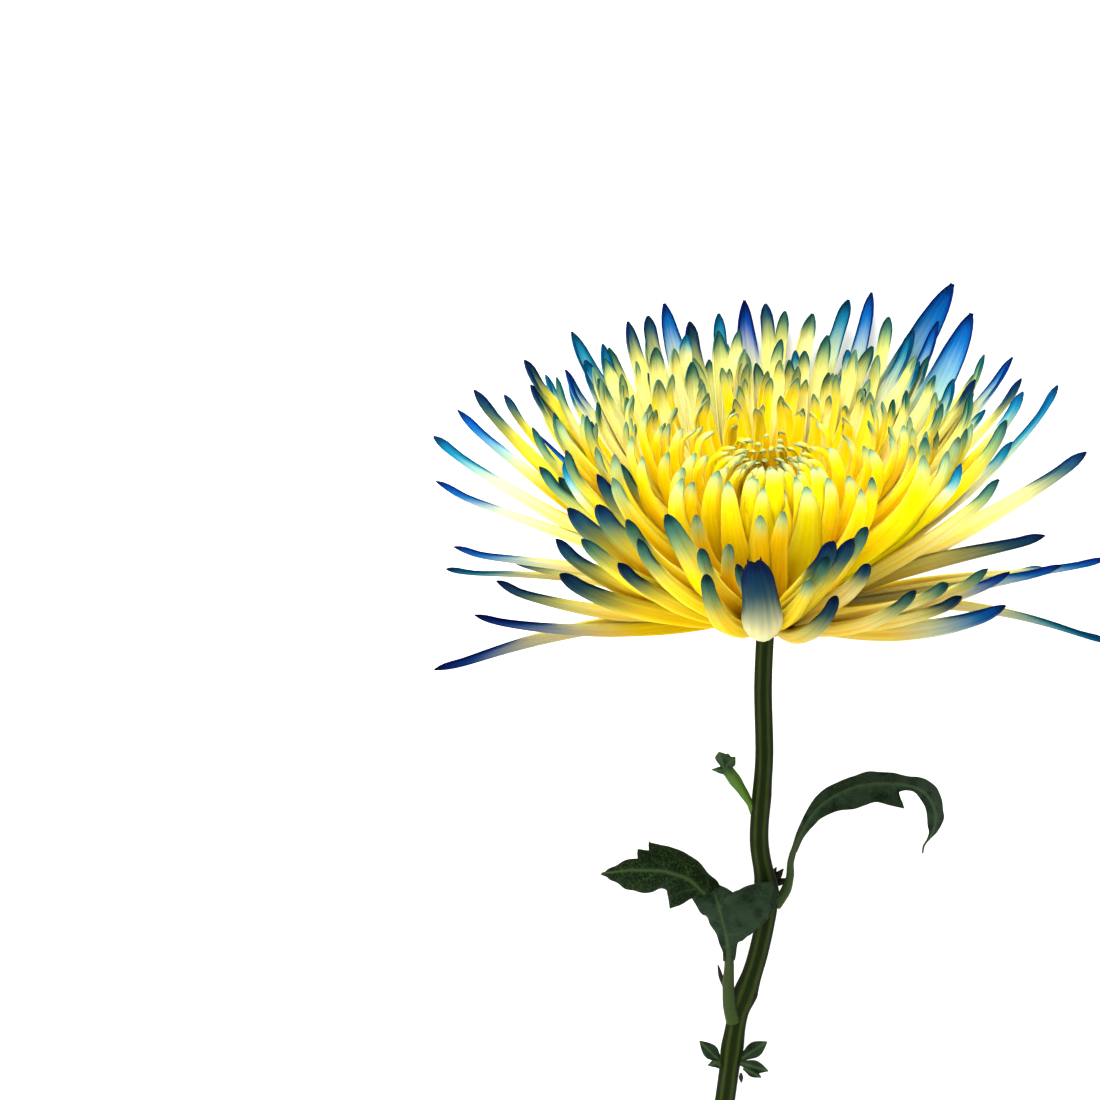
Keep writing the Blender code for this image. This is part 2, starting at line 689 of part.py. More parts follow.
def blade_mesh(rows):
    """A leaf blade as a thin plate, alike on both faces, raised a little between rib and edge."""
    grid = []
    for low, rib, high in rows:
        low, rib, high = sighted(*low), sighted(*rib), sighted(*high)
        grid.append([low, low.lerp(rib, 0.5), rib, rib.lerp(high, 0.5), high])
    last = len(grid) - 1
    normals = []
    for i, row in enumerate(grid):
        along = grid[min(i + 1, last)][2] - grid[max(i - 1, 0)][2]
        ends = [grid[i][1] - grid[i][0], grid[i][2] - grid[i][1], grid[i][3] - grid[i][2]]
        spans = [ends[0], row[2] - row[0], row[3] - row[1], row[4] - row[2], row[4] - row[3]]
        normals.append([span.cross(along).normalized() for span in spans])
    mesh = bmesh.new()
    sheets = []
    for side in (0.5, -0.5):
        sheet = []
        for i, row in enumerate(grid):
            width = (row[4] - row[0]).length
            swell = (0.0, 0.05 * width, 0.0, 0.05 * width, 0.0)
            sheet.append(
                [
                    mesh.verts.new(keep_above(point + normal * (side * BLADE_THICKNESS + rise)))
                    for point, normal, rise in zip(row, normals[i], swell)
                ]
            )
        sheets.append(sheet)
    for sheet in sheets:
        for near, far in zip(sheet, sheet[1:]):
            for k in range(4):
                mesh.faces.new((near[k], near[k + 1], far[k + 1]))
                mesh.faces.new((near[k], far[k + 1], far[k]))
    top, bottom = sheets
    rim = [row[0] for row in top] + top[-1][1:] + [row[4] for row in reversed(top[:-1])]
    rim += list(reversed(top[0][1:4]))
    under = [row[0] for row in bottom] + bottom[-1][1:] + [row[4] for row in reversed(bottom[:-1])]
    under += list(reversed(bottom[0][1:4]))
    for i in range(len(rim)):
        j = (i + 1) % len(rim)
        mesh.faces.new((rim[i], under[i], under[j], rim[j]))
    return finished(mesh, "blade")


def involucre_mesh():
    """The shallow green cup under the petals."""
    rings = []
    turn = math.pi / INVOLUCRE_BRACTS
    for radius, height in INVOLUCRE:
        ring = []
        for i in range(2 * INVOLUCRE_BRACTS):
            reach = radius * (1 + INVOLUCRE_SCALLOP * (i % 2))
            ring.append(round_axis(i * turn) * reach + AXIS * height)
        rings.append(ring)
    return skin_sections(rings)


def material(name, color, roughness):
    """A plain surface of one colour."""
    surface = bpy.data.materials.new(name)
    surface.use_nodes = True
    shader = surface.node_tree.nodes["Principled BSDF"]
    shader.inputs["Base Color"].default_value = (*color, 1)
    shader.inputs["Roughness"].default_value = roughness
    shader.inputs["Metallic"].default_value = 0
    return surface


def add_piece(name, mesh, color, roughness):
    """An object in the scene with its own material."""
    mesh.name = name
    piece = bpy.data.objects.new(name, mesh)
    bpy.context.scene.collection.objects.link(piece)
    mesh.materials.clear()
    mesh.materials.append(material(name, color, roughness))
    mesh.shade_smooth()
    mesh.set_sharp_from_angle(angle=math.radians(40))
    return piece


def bloom_mesh():
    """The whole head: every petal and floret grown together on the receptacle."""
    petals = outer_petals() + splayed_petals() + fan_petals() + eye_florets()
    return fused("bloom", [receptacle_mesh()] + [petal_mesh(petal) for petal in petals])


def leaf_mesh(name, rows, stalk):
    """A blade joined to its stalk."""
    radii = (STALK_RADIUS * 1.25, STALK_RADIUS, STALK_RADIUS * 0.9, STALK_RADIUS * 0.7)
    return fused(name, [blade_mesh(rows), tube_mesh(stalk, radii)])


def main():
    """Build the flower."""
    for thing in list(bpy.data.objects):
        bpy.data.objects.remove(thing)
    add_piece("bloom", bloom_mesh(), PETAL_YELLOW, 0.55)
    add_piece("involucre", involucre_mesh(), BRACT_GREEN, 0.6)
    add_piece("stem", stem_mesh(), STEM_GREEN, 0.6)
    add_piece("leaf_left", leaf_mesh("leaf_left", LEFT_BLADE, LEFT_STALK), LEAF_GREEN, 0.5)
    add_piece("leaf_right", leaf_mesh("leaf_right", RIGHT_BLADE, RIGHT_STALK), LEAF_GREEN, 0.5)
    shoot = [tube_mesh(SHOOT_LINE, SHOOT_RADII)] + [bract_mesh(*bract) for bract in SHOOT_BRACTS]
    add_piece("side_shoot", fused("side_shoot", shoot), SHOOT_GREEN, 0.55)
    for name, lobes in (("leaflet_left", LEAFLET_LEFT), ("leaflet_right", LEAFLET_RIGHT)):
        add_piece(name, fused(name, [bract_mesh(*lobe) for lobe in lobes]), LEAF_GREEN, 0.5)


main()
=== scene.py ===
"""A cut spider chrysanthemum lying on a pale floor: its fine pieces, finishes, light and camera.

Inside the flower's classes lengths are millimetres from the neck, where the stem meets the bloom.
Meshes are in metres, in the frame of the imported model.
"""

from __future__ import annotations

import logging
import math
import random
from dataclasses import dataclass
from enum import Enum
from typing import Callable, Sequence

import bmesh
import bpy
import numpy as np
from mathutils import Matrix, Vector

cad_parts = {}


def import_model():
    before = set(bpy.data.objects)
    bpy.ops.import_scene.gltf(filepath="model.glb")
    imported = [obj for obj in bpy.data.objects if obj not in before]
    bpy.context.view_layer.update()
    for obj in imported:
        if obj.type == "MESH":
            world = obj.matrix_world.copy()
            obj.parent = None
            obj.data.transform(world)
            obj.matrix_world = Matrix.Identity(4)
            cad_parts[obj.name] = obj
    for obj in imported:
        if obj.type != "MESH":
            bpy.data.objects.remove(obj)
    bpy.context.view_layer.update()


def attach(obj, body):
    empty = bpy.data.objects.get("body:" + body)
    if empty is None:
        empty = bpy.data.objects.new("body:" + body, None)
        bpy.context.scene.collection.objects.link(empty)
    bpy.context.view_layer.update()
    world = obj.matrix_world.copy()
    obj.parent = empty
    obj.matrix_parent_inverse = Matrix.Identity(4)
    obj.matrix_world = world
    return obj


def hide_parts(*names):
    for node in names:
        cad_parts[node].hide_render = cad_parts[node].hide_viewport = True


log = logging.getLogger("chrysanthemum")

MM = 0.001
GOLDEN_ANGLE = math.pi * (3 - math.sqrt(5))
EYE = Vector((0, 0, 1)).freeze()
Colour = tuple[float, float, float]
Place = tuple[float, float, float]


def mix(start: float, end: float, share: float) -> float:
    """Return the value a share of the way from start to end."""
    return start + (end - start) * share


def smooth_step(share: float) -> float:
    """Return a soft start and stop between 0 and 1."""
    share = min(max(share, 0.0), 1.0)
    return share * share * (3 - 2 * share)


def curve_at(line: Sequence[Vector], place: float, corners: frozenset[int] = frozenset()) -> Vector:
    """Return a point of the smooth curve through a line's points.

    Args:
        line: the points.
        place: how many points along it lies, with its fraction.
        corners: numbers of the points where the curve has a sharp corner.

    Returns:
        The point on the curve.
    """
    last = len(line) - 1
    k = min(int(place), last - 1)
    t = place - k
    start, end = line[k], line[k + 1]
    before = start if k in corners or k == 0 else line[k - 1]
    after = end if k + 1 in corners or k + 1 == last else line[k + 2]
    rising, turning = before * 2 - start * 5 + end * 4 - after, start * 3 - before - end * 3 + after
    return (start * 2 + (end - before) * t + rising * t**2 + turning * t**3) / 2


def smooth_line(points: Sequence[Vector], count: int) -> list[Vector]:
    """Return evenly shared points on a smooth curve through the given ones."""
    return [curve_at(points, i / (count - 1) * (len(points) - 1)) for i in range(count)]


def along_list(values: Sequence[float], share: float) -> float:
    """Return the value at a share of the way through a list, softly joined.

    Args:
        values: the values, evenly placed.
        share: where to read them, 0 to 1.

    Returns:
        The value there.
    """
    place = min(max(share, 0.0), 1.0) * (len(values) - 1)
    k = min(int(place), len(values) - 2)
    return mix(values[k], values[k + 1], smooth_step(place - k))


def places(text: str) -> list[tuple[Place, ...]]:
    """Return the places of a table, three numbers each, as one group for each of its lines."""
    rows = [[float(word) for word in line.split()] for line in text.strip().splitlines()]
    return [tuple(tuple(row[i : i + 3]) for i in range(0, len(row), 3)) for row in rows]


@dataclass(frozen=True)
class Pose:
    """How the flower lies, and the line of sight that its measured places are on.

    Args:
        neck: the neck, in millimetres from the middle of the footprint.
        rise: the rise of the bloom's axis above the surface, in radians.
        sight: the point under the eye, across and up from the neck.
        distance: the eye's height above the neck.
        softness: how softly a petal bends where it meets the surface.
        clearance: how high above the surface it then lies.
    """

    neck: Vector = Vector((-1.3, 55.1, 41.0)).freeze()
    rise: float = math.radians(25)
    sight: Vector = Vector((-49.5, 17.9)).freeze()
    distance: float = 1200.0
    softness: float = 2.0
    clearance: float = 1.0

    @property
    def axis(self) -> Vector:
        """The bloom's axis, from the neck to the eye of the bloom."""
        return Vector((0, math.cos(self.rise), math.sin(self.rise)))

    @property
    def front(self) -> Vector:
        """The direction across the axis that faces up from the surface."""
        return Vector((0, -math.sin(self.rise), math.cos(self.rise)))

    def round_axis(self, azimuth: float) -> Vector:
        """Return the direction out from the axis; azimuth 0 faces up from the surface."""
        return self.front * math.cos(azimuth) + Vector((1, 0, 0)) * math.sin(azimuth)

    def sighted(self, across: float, up: float, toward: float) -> Vector:
        """Return the point, toward the eye by this much, that is seen at a place across and up."""
        shrink = (self.distance - toward) / self.distance
        return Vector((*(self.sight + (Vector((across, up)) - self.sight) * shrink), toward))

    def unsighted(self, point: Vector) -> Place:
        """Return the measured place, across, up and toward the eye, that a point is seen at."""
        shrink = (self.distance - point.z) / self.distance
        return (*(self.sight + (point.xy - self.sight) / shrink), point.z)

    def above_surface(self, point: Vector) -> Vector:
        """Return the point lifted softly so that it stays above the surface.

        Args:
            point: a point of a petal.

        Returns:
            The lifted point.
        """
        depth = (point.z + self.neck.z - self.clearance) / self.softness
        height = self.clearance + self.softness * math.log1p(math.exp(depth))
        return Vector((point.x, point.y, height - self.neck.z))

    def metres(self, point: Vector) -> Vector:
        """Return the point in metres in the model's frame, never below the surface."""
        place = point + self.neck
        return Vector((place.x, place.y, max(place.z, 0.0))) * MM


POSE = Pose()


@dataclass(frozen=True)
class Value:
    """A number, colour or place that a node tree works out, and the sums that can be done with it."""

    graph: Graph
    socket: bpy.types.NodeSocket

    def __add__(self, other: Value | float) -> Value:
        """Return the sum."""
        return self.graph.math("ADD", self, other)

    def __sub__(self, other: Value | float) -> Value:
        """Return what is left without the other."""
        return self.graph.math("SUBTRACT", self, other)

    def __rsub__(self, other: float) -> Value:
        """Return what is left of a plain number without this."""
        return self.graph.math("SUBTRACT", other, self)

    def __mul__(self, other: Value | float) -> Value:
        """Return the product."""
        return self.graph.math("MULTIPLY", self, other)

    def __truediv__(self, other: Value | float) -> Value:
        """Return the quotient."""
        return self.graph.math("DIVIDE", self, other)

    def __pow__(self, other: float) -> Value:
        """Return the power."""
        return self.graph.math("POWER", self, other)

    def __abs__(self) -> Value:
        """Return the value without its sign."""
        return self.graph.math("ABSOLUTE", self)


@dataclass
class Graph:
    """A node tree being wired with few words."""

    tree: bpy.types.NodeTree

    def feed(self, socket: bpy.types.NodeSocket, value: object) -> None:
        """Join a socket to a value of the tree, or give it a plain one.

        Args:
            socket: the socket.
            value: what it gets.
        """
        if isinstance(value, Value):
            self.tree.links.new(value.socket, socket)
        else:
            socket.default_value = value

    def node(self, kind: str, values: dict, output: str | int = 0, **settings: object) -> Value:
        """Return what a new node works out.

        Args:
            kind: the node's type.
            values: what each socket is fed, by its name or number.
            output: the name or number of the output.
            settings: the node's settings.

        Returns:
            The output's value.
        """
        node = self.tree.nodes.new(kind)
        for name, value in settings.items():
            setattr(node, name, value)
        for name, value in values.items():
            self.feed(node.inputs[name], value)
        return Value(self, node.outputs[output])

    def math(self, operation: str, *values: Value | float, clamp: bool = False) -> Value:
        """Return the result of a sum on numbers."""
        return self.node("ShaderNodeMath", dict(enumerate(values)), operation=operation, use_clamp=clamp)


class Sections(Graph):
    """A Geometry Nodes group that sweeps a section along the lines it is given."""

    def __init__(self, name: str, inputs: dict[str, object]) -> None:
        """Start a group with named inputs, whose sockets suit the values they will get.

        Args:
            name: the group's name.
            inputs: a value for each input, by its name.
        """
        super().__init__(bpy.data.node_groups.new(name, "GeometryNodeTree"))
        kinds = {int: "NodeSocketInt", float: "NodeSocketFloat"}
        socket = self.tree.interface.new_socket
        socket("Geometry", in_out="INPUT", socket_type="NodeSocketGeometry")
        for label, value in inputs.items():
            socket(label, in_out="INPUT", socket_type=kinds.get(type(value), "NodeSocketMaterial"))
        socket("Geometry", in_out="OUTPUT", socket_type="NodeSocketGeometry")
        given = self.tree.nodes.new("NodeGroupInput").outputs
        self.given = {label: Value(self, given[label]) for label in ("Geometry", *inputs)}

    def held(self, name: str, kind: str = "FLOAT") -> Value:
        """Return what the points hold under a name."""
        return self.node("GeometryNodeInputNamedAttribute", {"Name": name}, "Attribute", data_type=kind)

    def hold(self, geometry: Value, name: str, value: Value) -> Value:
        """Return the geometry with a number held on its points under a name."""
        values = {"Geometry": geometry, "Name": name, "Value": value}
        return self.node("GeometryNodeStoreNamedAttribute", values, data_type="FLOAT", domain="POINT")

    def vector(self, operation: str, first: Value, second: object, socket: str | int = 1) -> Value:
        """Return the result of a sum on vectors, or on one and a number at the socket named."""
        return self.node("ShaderNodeVectorMath", {0: first, socket: second}, operation=operation)

    def sweep(self, section: Section, mark: str) -> None:
        """Wire the group from its lines to its finished skin.

        Args:
            section: the section's shape.
            mark: the name under which the points hold the section's mark.
        """
        line = self.node("GeometryNodeMeshToCurve", {"Mesh": self.given["Geometry"]})
        sizes = {"Resolution": self.given["Sides"], "Radius": MM}
        circle = self.node("GeometryNodeCurvePrimitiveCircle", sizes)
        profile = self.hold(circle, "around", self.node("GeometryNodeSplineParameter", {}, "Factor"))
        values = {"Curve": line, "Profile Curve": profile, "Fill Caps": True}
        skin = self.node("GeometryNodeCurveToMesh", values)
        *steps, marked = section(self, self.held("around"))
        place = self.held("spine", "FLOAT_VECTOR")
        for name, step in zip(("sideways", "back"), steps):
            step = self.vector("SCALE", self.held(name, "FLOAT_VECTOR"), step, "Scale")
            place = self.vector("ADD", place, step)
        # Nothing lies below the floor
        place = self.vector("MAXIMUM", place, (-1.0, -1.0, 0.0))
        skin = self.node("GeometryNodeSetPosition", {"Geometry": skin, "Position": place})
        skin = self.hold(skin, mark, marked)
        skin = self.node("GeometryNodeSetShadeSmooth", {"Geometry": skin, "Shade Smooth": True})
        skin = self.node("GeometryNodeRealizeInstances", {"Geometry": skin})
        skin = self.node("GeometryNodeSetMaterial", {"Geometry": skin, "Material": self.given["Finish"]})
        self.feed(self.tree.nodes.new("NodeGroupOutput").inputs[0], skin)


# Gives the places sideways and backward, and a mark, at a share of the way round a section
Section = Callable[[Sections, Value], tuple[Value, Value, Value]]


class Surface(Graph):
    """A new material's shader tree."""

    def __init__(self, name: str) -> None:
        """Start the material.

        Args:
            name: the material's name.
        """
        self.material = bpy.data.materials.new(name)
        self.material.use_nodes = True
        super().__init__(self.material.node_tree)

    def held(self, name: str, output: str = "Fac") -> Value:
        """Return the number that the mesh holds under a name, or its colour from the output Color."""
        return self.node("ShaderNodeAttribute", {}, output, attribute_name=name)

    def combine(self, x: object, y: object, z: object) -> Value:
        """Return a vector made of three numbers."""
        return self.node("ShaderNodeCombineXYZ", {"X": x, "Y": y, "Z": z})

    def noise(self, place: Value, scale: float, detail: float = 3.0) -> Value:
        """Return soft noise from 0 to 1 at a place."""
        return self.node("ShaderNodeTexNoise", {"Vector": place, "Scale": scale, "Detail": detail}, "Fac")

    def grain(self, scale: float, detail: float = 3.0) -> Value:
        """Return soft noise from 0 to 1 that lies still on the piece."""
        return self.noise(self.node("ShaderNodeTexCoord", {}, "Object"), scale, detail)

    def span(self, value: Value, low: float, high: float) -> Value:
        """Return 0 below low and 1 above high, smoothly between them."""
        values = {"Value": value, "From Min": low, "From Max": high}
        return self.node("ShaderNodeMapRange", values, "Result", interpolation_type="SMOOTHSTEP")

    def blend(self, share: object, first: object, second: object, how: str = "MIX") -> Value:
        """Return the mix of two colours.

        Args:
            share: how much of the second colour.
            first: a colour.
            second: another colour.
            how: the kind of mix.

        Returns:
            The mixed colour.
        """
        first, second = ((*tone, 1.0) if isinstance(tone, tuple) else tone for tone in (first, second))
        values = {"Factor": share, 6: first, 7: second}
        return self.node("ShaderNodeMix", values, 2, data_type="RGBA", blend_type=how)

    def bump(self, height: Value, depth: float) -> Value:
        """Return a surface direction bent by a height, in metres at height 1."""
        return self.node("ShaderNodeBump", {"Height": height, "Distance": depth, "Strength": 1.0}, "Normal")

    def dress(self, values: dict[str, object]) -> bpy.types.Material:
        """Return the finished material with the shader's sockets fed by their names.

        Args:
            values: what each socket is fed, by its name.

        Returns:
            The material.
        """
        sockets = self.tree.nodes["Principled BSDF"].inputs
        for name, value in values.items():
            self.feed(sockets[name], value)
        return self.material


class Dye(Enum):
    """The colour that a petal's tip took up, as where it fades in, its middle and its very tip."""

    BUD = ((0.86, 0.72, 0.07), (0.58, 0.62, 0.20), (0.26, 0.42, 0.22))
    SPRING = ((0.66, 0.62, 0.10), (0.40, 0.50, 0.20), (0.08, 0.22, 0.14))
    TEAL = ((0.44, 0.48, 0.10), (0.09, 0.24, 0.13), (0.002, 0.055, 0.07))
    NAVY = ((0.30, 0.35, 0.06), (0.020, 0.09, 0.10), (0.001, 0.011, 0.07))
    SEA = ((0.42, 0.60, 0.42), (0.010, 0.26, 0.38), (0.001, 0.055, 0.18))
    BLUE = ((0.30, 0.56, 0.54), (0.004, 0.16, 0.42), (0.001, 0.018, 0.21))
    VIOLET = ((0.34, 0.46, 0.46), (0.004, 0.07, 0.34), (0.001, 0.004, 0.11))


class Body(Enum):
    """The colour of a petal between its root and its dyed tip."""

    YELLOW = (1.0, 0.66, 0.001)
    LEMON = (0.97, 0.73, 0.03)
    CREAM = (0.86, 0.78, 0.30)
    IVORY = (0.74, 0.71, 0.36)


@dataclass(frozen=True)
class PetalFinish:
    """The soft striped skin of a ray floret, yellow to its dyed tip.

    Args:
        root: the deeper orange near the root, deep among the petals: painted crease shade.
        edge: the paler colour of the rolled edges and of streaks along the petal: a painted highlight.
        groove: the golden colour between the soft ridges: painted shade in the folds.
        cap: the darkest dye, at the very end of a tip.
        uneven: how unevenly the dye ends.
        veins: number of fine lines across half a petal.
        depth: depth of those lines, in metres.
        glow: how far light spreads inside a petal, in metres.
    """

    root: Colour = (1.0, 0.58, 0.001)
    edge: Colour = (0.98, 0.85, 0.17)
    groove: Colour = (1.0, 0.56, 0.001)
    cap: Colour = (0.001, 0.004, 0.018)
    uneven: float = 0.22
    veins: float = 7.0
    depth: float = 0.00007
    glow: float = 0.003

    def material(self) -> bpy.types.Material:
        """Return the petals' material, which reads the petals' own values.

        Returns:
            The new material.
        """
        skin = Surface("petal_skin")
        span, blend = skin.span, skin.blend
        along, across, pale, dyed = map(skin.held, ("along", "across", "pale", "dyed"))
        offset = skin.held("seed") * 53.0
        streak = skin.noise(skin.combine(across * 3.2, along * 1.6, offset), 2.4)
        mottle = skin.noise(skin.combine(across, along * 9.0, offset), 3.0, 2.0)

        # How far into the dye a point is: 0 where it first shows, 1 at the tip
        tipward = (1.0 - along) / skin.math("MAXIMUM", dyed, 0.01)
        zone = (1.0 - tipward) + (streak - 0.5) * self.uneven
        rim = abs(across) ** 4.0
        zone = span(zone, -0.3, 0.6) * (rim * 0.8 - 0.14) + zone

        own = skin.math("MAXIMUM", span(along, 0.36, 0.78), pale)
        colour = blend(own, Body.YELLOW.value, skin.held("body", "Color"))
        # Deeper orange toward the root, where the petals crowd into creases: painted crease shade
        painted_root_shade = skin.math("SUBTRACT", span(along, 0.42, 0.05), pale, clamp=True)
        colour = blend(painted_root_shade * 0.7, colour, self.root)
        # Golden colour in the folds between the ridges: painted shade
        folds = skin.math("COSINE", across * (3 * math.pi))
        colour = blend(span(folds, 0.1, -0.9) * span(along, 0.97, 0.6) * 0.45, colour, self.groove)
        # Paler rolled edges and pale streaks along the petal: painted highlights, stronger on pale petals
        softness = pale * 0.8 + 0.3
        colour = blend(rim * span(along, 0.35, 0.75) * softness, colour, self.edge)
        colour = blend(span(streak, 0.52, 0.74) * (softness * 0.45), colour, self.edge)
        for name, low, high in (("fringe", -1.0, 0.3), ("middle", -0.25, 0.6), ("deep", 0.25, 0.95)):
            colour = blend(span(zone, low, high), colour, skin.held(name, "Color"))
        seam = span(abs(across), 0.6, 1.0) * span(zone, 0.05, 0.6)
        cap = skin.math("MAXIMUM", span(along, 0.955, 0.995), seam * 0.8) * span(dyed, 0.06, 0.2)
        colour = blend(cap * 0.75, colour, self.cap)

        # Fine lines that run along the petal
        phase = across * (self.veins * math.pi) + (streak - 0.5) * 4.0
        lines = skin.math("SINE", phase) * 0.5 + 0.5
        # The fine lines darken a little, and tone darkens low petals with painted shade
        shade = (lines * 0.08 + 0.92) * skin.held("tone")
        # Dye stops the light inside a petal
        clear = span(zone, 0.6, -0.3)
        return skin.dress({
            "Base Color": blend(1.0, colour, skin.combine(shade, shade, shade), "MULTIPLY"),
            "Normal": skin.bump(lines + mottle * 0.8, self.depth),
            "Roughness": mottle * 0.2 + 0.42,
            "Specular IOR Level": 0.008,
            "Subsurface Weight": clear * 0.7 + 0.1,
            "Subsurface Radius": (1.0, 0.75, 0.15),
            "Subsurface Scale": self.glow,
        })


@dataclass(frozen=True)
class StemFinish:
    """Ribbed dark green stem skin with paler ridges."""

    groove: Colour = (0.004, 0.008, 0.0008)
    ridge: Colour = (0.017, 0.028, 0.0035)

    def material(self) -> bpy.types.Material:
        """Return the stem's material, which reads the rib and the place along the stem.

        Returns:
            The new material.
        """
        skin = Surface("stem_skin")
        rib, along, around = map(skin.held, ("rib", "along", "around"))
        streak = skin.noise(skin.combine(around * 22.0, along * 46.0, 0.0), 1.0, 4.0)
        blotch = skin.noise(skin.combine(around, along * 12.0, 4.0), 2.2, 2.0)
        colour = skin.blend(skin.span(rib * 0.8 + streak * 0.5, 0.35, 1.15), self.groove, self.ridge)
        return skin.dress({
            "Base Color": skin.blend(skin.span(blotch, 0.55, 0.8) * 0.45, colour, self.groove),
            "Normal": skin.bump(streak, 0.00025),
            "Roughness": blotch * 0.25 + 0.5,
            "Specular IOR Level": 0.03,
        })


@dataclass(frozen=True)
class LeafFinish:
    """A leaf's dark speckled upper side with pale veins, and its grey-green underside; its lighter speckles
    are painted glints and sheen.
    """

    name: str = "leaf_skin"
    upper: Colour = (0.0004, 0.0032, 0.0004)
    # The lighter green of the speckles: a painted glint and sheen
    bright: Colour = (0.013, 0.034, 0.003)
    under: Colour = (0.010, 0.021, 0.010)
    vein: Colour = (0.032, 0.058, 0.018)

    def material(self) -> bpy.types.Material:
        """Return the leaf's material, which reads its veins and which side a face is on.

        Returns:
            The new material.
        """
        skin = Surface(self.name)
        speckle, patch = skin.grain(2400.0), skin.grain(260.0)
        # Lighter speckles, gone in dark patches: painted glints and sheen on the rough skin, whose bump is
        # real
        colour = skin.blend(skin.span(speckle, 0.45, 0.72), self.upper, self.bright)
        colour = skin.blend(skin.span(patch, 0.4, 0.75) * 0.8, colour, self.upper)
        below = skin.blend(skin.span(speckle * 0.3 + patch * 0.7, 0.4, 0.7), self.under, self.upper)
        colour = skin.blend(skin.held("under"), colour, below)
        return skin.dress({
            "Base Color": skin.blend(skin.held("vein") * 0.6, colour, self.vein),
            "Normal": skin.bump(speckle * 0.5 + patch * 0.8, 0.0006),
            "Roughness": speckle * 0.3 + 0.4,
            "Specular IOR Level": 0.04,
        })


@dataclass(frozen=True)
class ShootFinish:
    """Smooth green skin of a young shoot, brighter along the stalk and dark at its head."""

    name: str = "shoot_skin"
    stalk: Colour = (0.038, 0.086, 0.010)
    head: Colour = (0.010, 0.022, 0.008)

    def material(self) -> bpy.types.Material:
        """Return the shoot's material, which reads how near its head a point is.

        Returns:
            The new material.
        """
        skin = Surface(self.name)
        grain = skin.grain(1500.0)
        dark = skin.span(skin.held("head") + grain * 0.3, 0.2, 0.95)
        return skin.dress({
            "Base Color": skin.blend(dark, self.stalk, self.head),
            "Normal": skin.bump(grain, 0.0002),
            "Roughness": grain * 0.3 + 0.42,
            "Specular IOR Level": 0.08,
        })


@dataclass(frozen=True)
class FloorFinish:
    """A plain pale floor."""

    colour: Colour = (0.94, 0.94, 0.94)
    worn: Colour = (0.92, 0.92, 0.92)

    def material(self) -> bpy.types.Material:
        """Return the floor's material.

        Returns:
            The new material.
        """
        skin = Surface("pale_floor")
        colour = skin.blend(skin.grain(900.0, 2.0), self.colour, self.worn)
        return skin.dress({"Base Color": colour, "Roughness": 0.85, "Specular IOR Level": 0.1})


def show(name: str, data: bpy.types.ID) -> bpy.types.Object:
    """Return a new object in the scene that shows a mesh, lamp or camera, at the origin.

    Args:
        name: its name.
        data: the mesh, lamp or camera.

    Returns:
        The object.
    """
    data.name = name
    thing = bpy.data.objects.new(name, data)
    bpy.context.scene.collection.objects.link(thing)
    return thing


def settle(piece: bpy.types.Object, slot: str, *nodes: str) -> None:
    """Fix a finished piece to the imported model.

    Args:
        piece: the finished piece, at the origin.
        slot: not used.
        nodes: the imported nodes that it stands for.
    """
    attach(piece, "root")
    if nodes:
        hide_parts(*nodes)
    piece.data.calc_loop_triangles()
    log.info("%s: %d triangles", piece.name, len(piece.data.loop_triangles))


def hold(mesh: bpy.types.Mesh, name: str, values: Sequence) -> None:
    """Store a number or a vector for each point of a mesh.

    Args:
        mesh: the mesh.
        name: the name that they are read by.
        values: one for each point.
    """
    stored = np.asarray(values, np.float32)
    kind, key = ("FLOAT_VECTOR", "vector") if stored.ndim > 1 else ("FLOAT", "value")
    mesh.attributes.new(name, kind, "POINT").data.foreach_set(key, stored.ravel())


def face_out(mesh: bpy.types.Mesh) -> None:
    """Turn a closed mesh's faces outward.

    Args:
        mesh: the closed mesh.
    """
    shape = bmesh.new()
    shape.from_mesh(mesh)
    bmesh.ops.recalc_face_normals(shape, faces=shape.faces)
    shape.to_mesh(mesh)
    shape.free()


@dataclass(frozen=True)
class Sweep:
    """Grows a closed skin along lines, with this many points along a line and round it."""

    stations: int
    sides: int

    def skin(
        self, name: str, points: Sequence[dict], finish: bpy.types.Material, sizes: dict[str, float],
        section: Section, mark: str,
    ) -> bpy.types.Object:
        """Return the skin as one piece with a plain mesh, not yet settled.

        Args:
            name: the piece's name.
            points: what each point of the lines holds, its place as spine; a line starts where along is 0.
            finish: its material.
            sizes: the section's own named inputs.
            section: the section's shape.
            mark: the name of the mark that the section leaves.

        Returns:
            The piece.
        """
        lines = bpy.data.meshes.new(name)
        edges = [(i - 1, i) for i, point in enumerate(points) if point["along"]]
        lines.from_pydata([point["spine"] for point in points], edges, [])
        for key in points[0]:
            hold(lines, key, [point[key] for point in points])
        piece = show(name, lines)
        inputs = {"Sides": self.sides, **sizes, "Finish": finish}
        group = Sections(f"{name}_sweep", inputs)
        group.sweep(section, mark)
        modifier = piece.modifiers.new("grow", "NODES")
        modifier.node_group = group.tree
        for item in group.tree.interface.items_tree:
            if item.in_out == "INPUT" and item.name in inputs:
                modifier[item.identifier] = inputs[item.name]
        grown = piece.evaluated_get(bpy.context.evaluated_depsgraph_get())
        mesh = bpy.data.meshes.new_from_object(grown)
        piece.modifiers.clear()
        piece.data = mesh
        bpy.data.meshes.remove(lines)
        mesh.name = name
        face_out(mesh)
        return piece


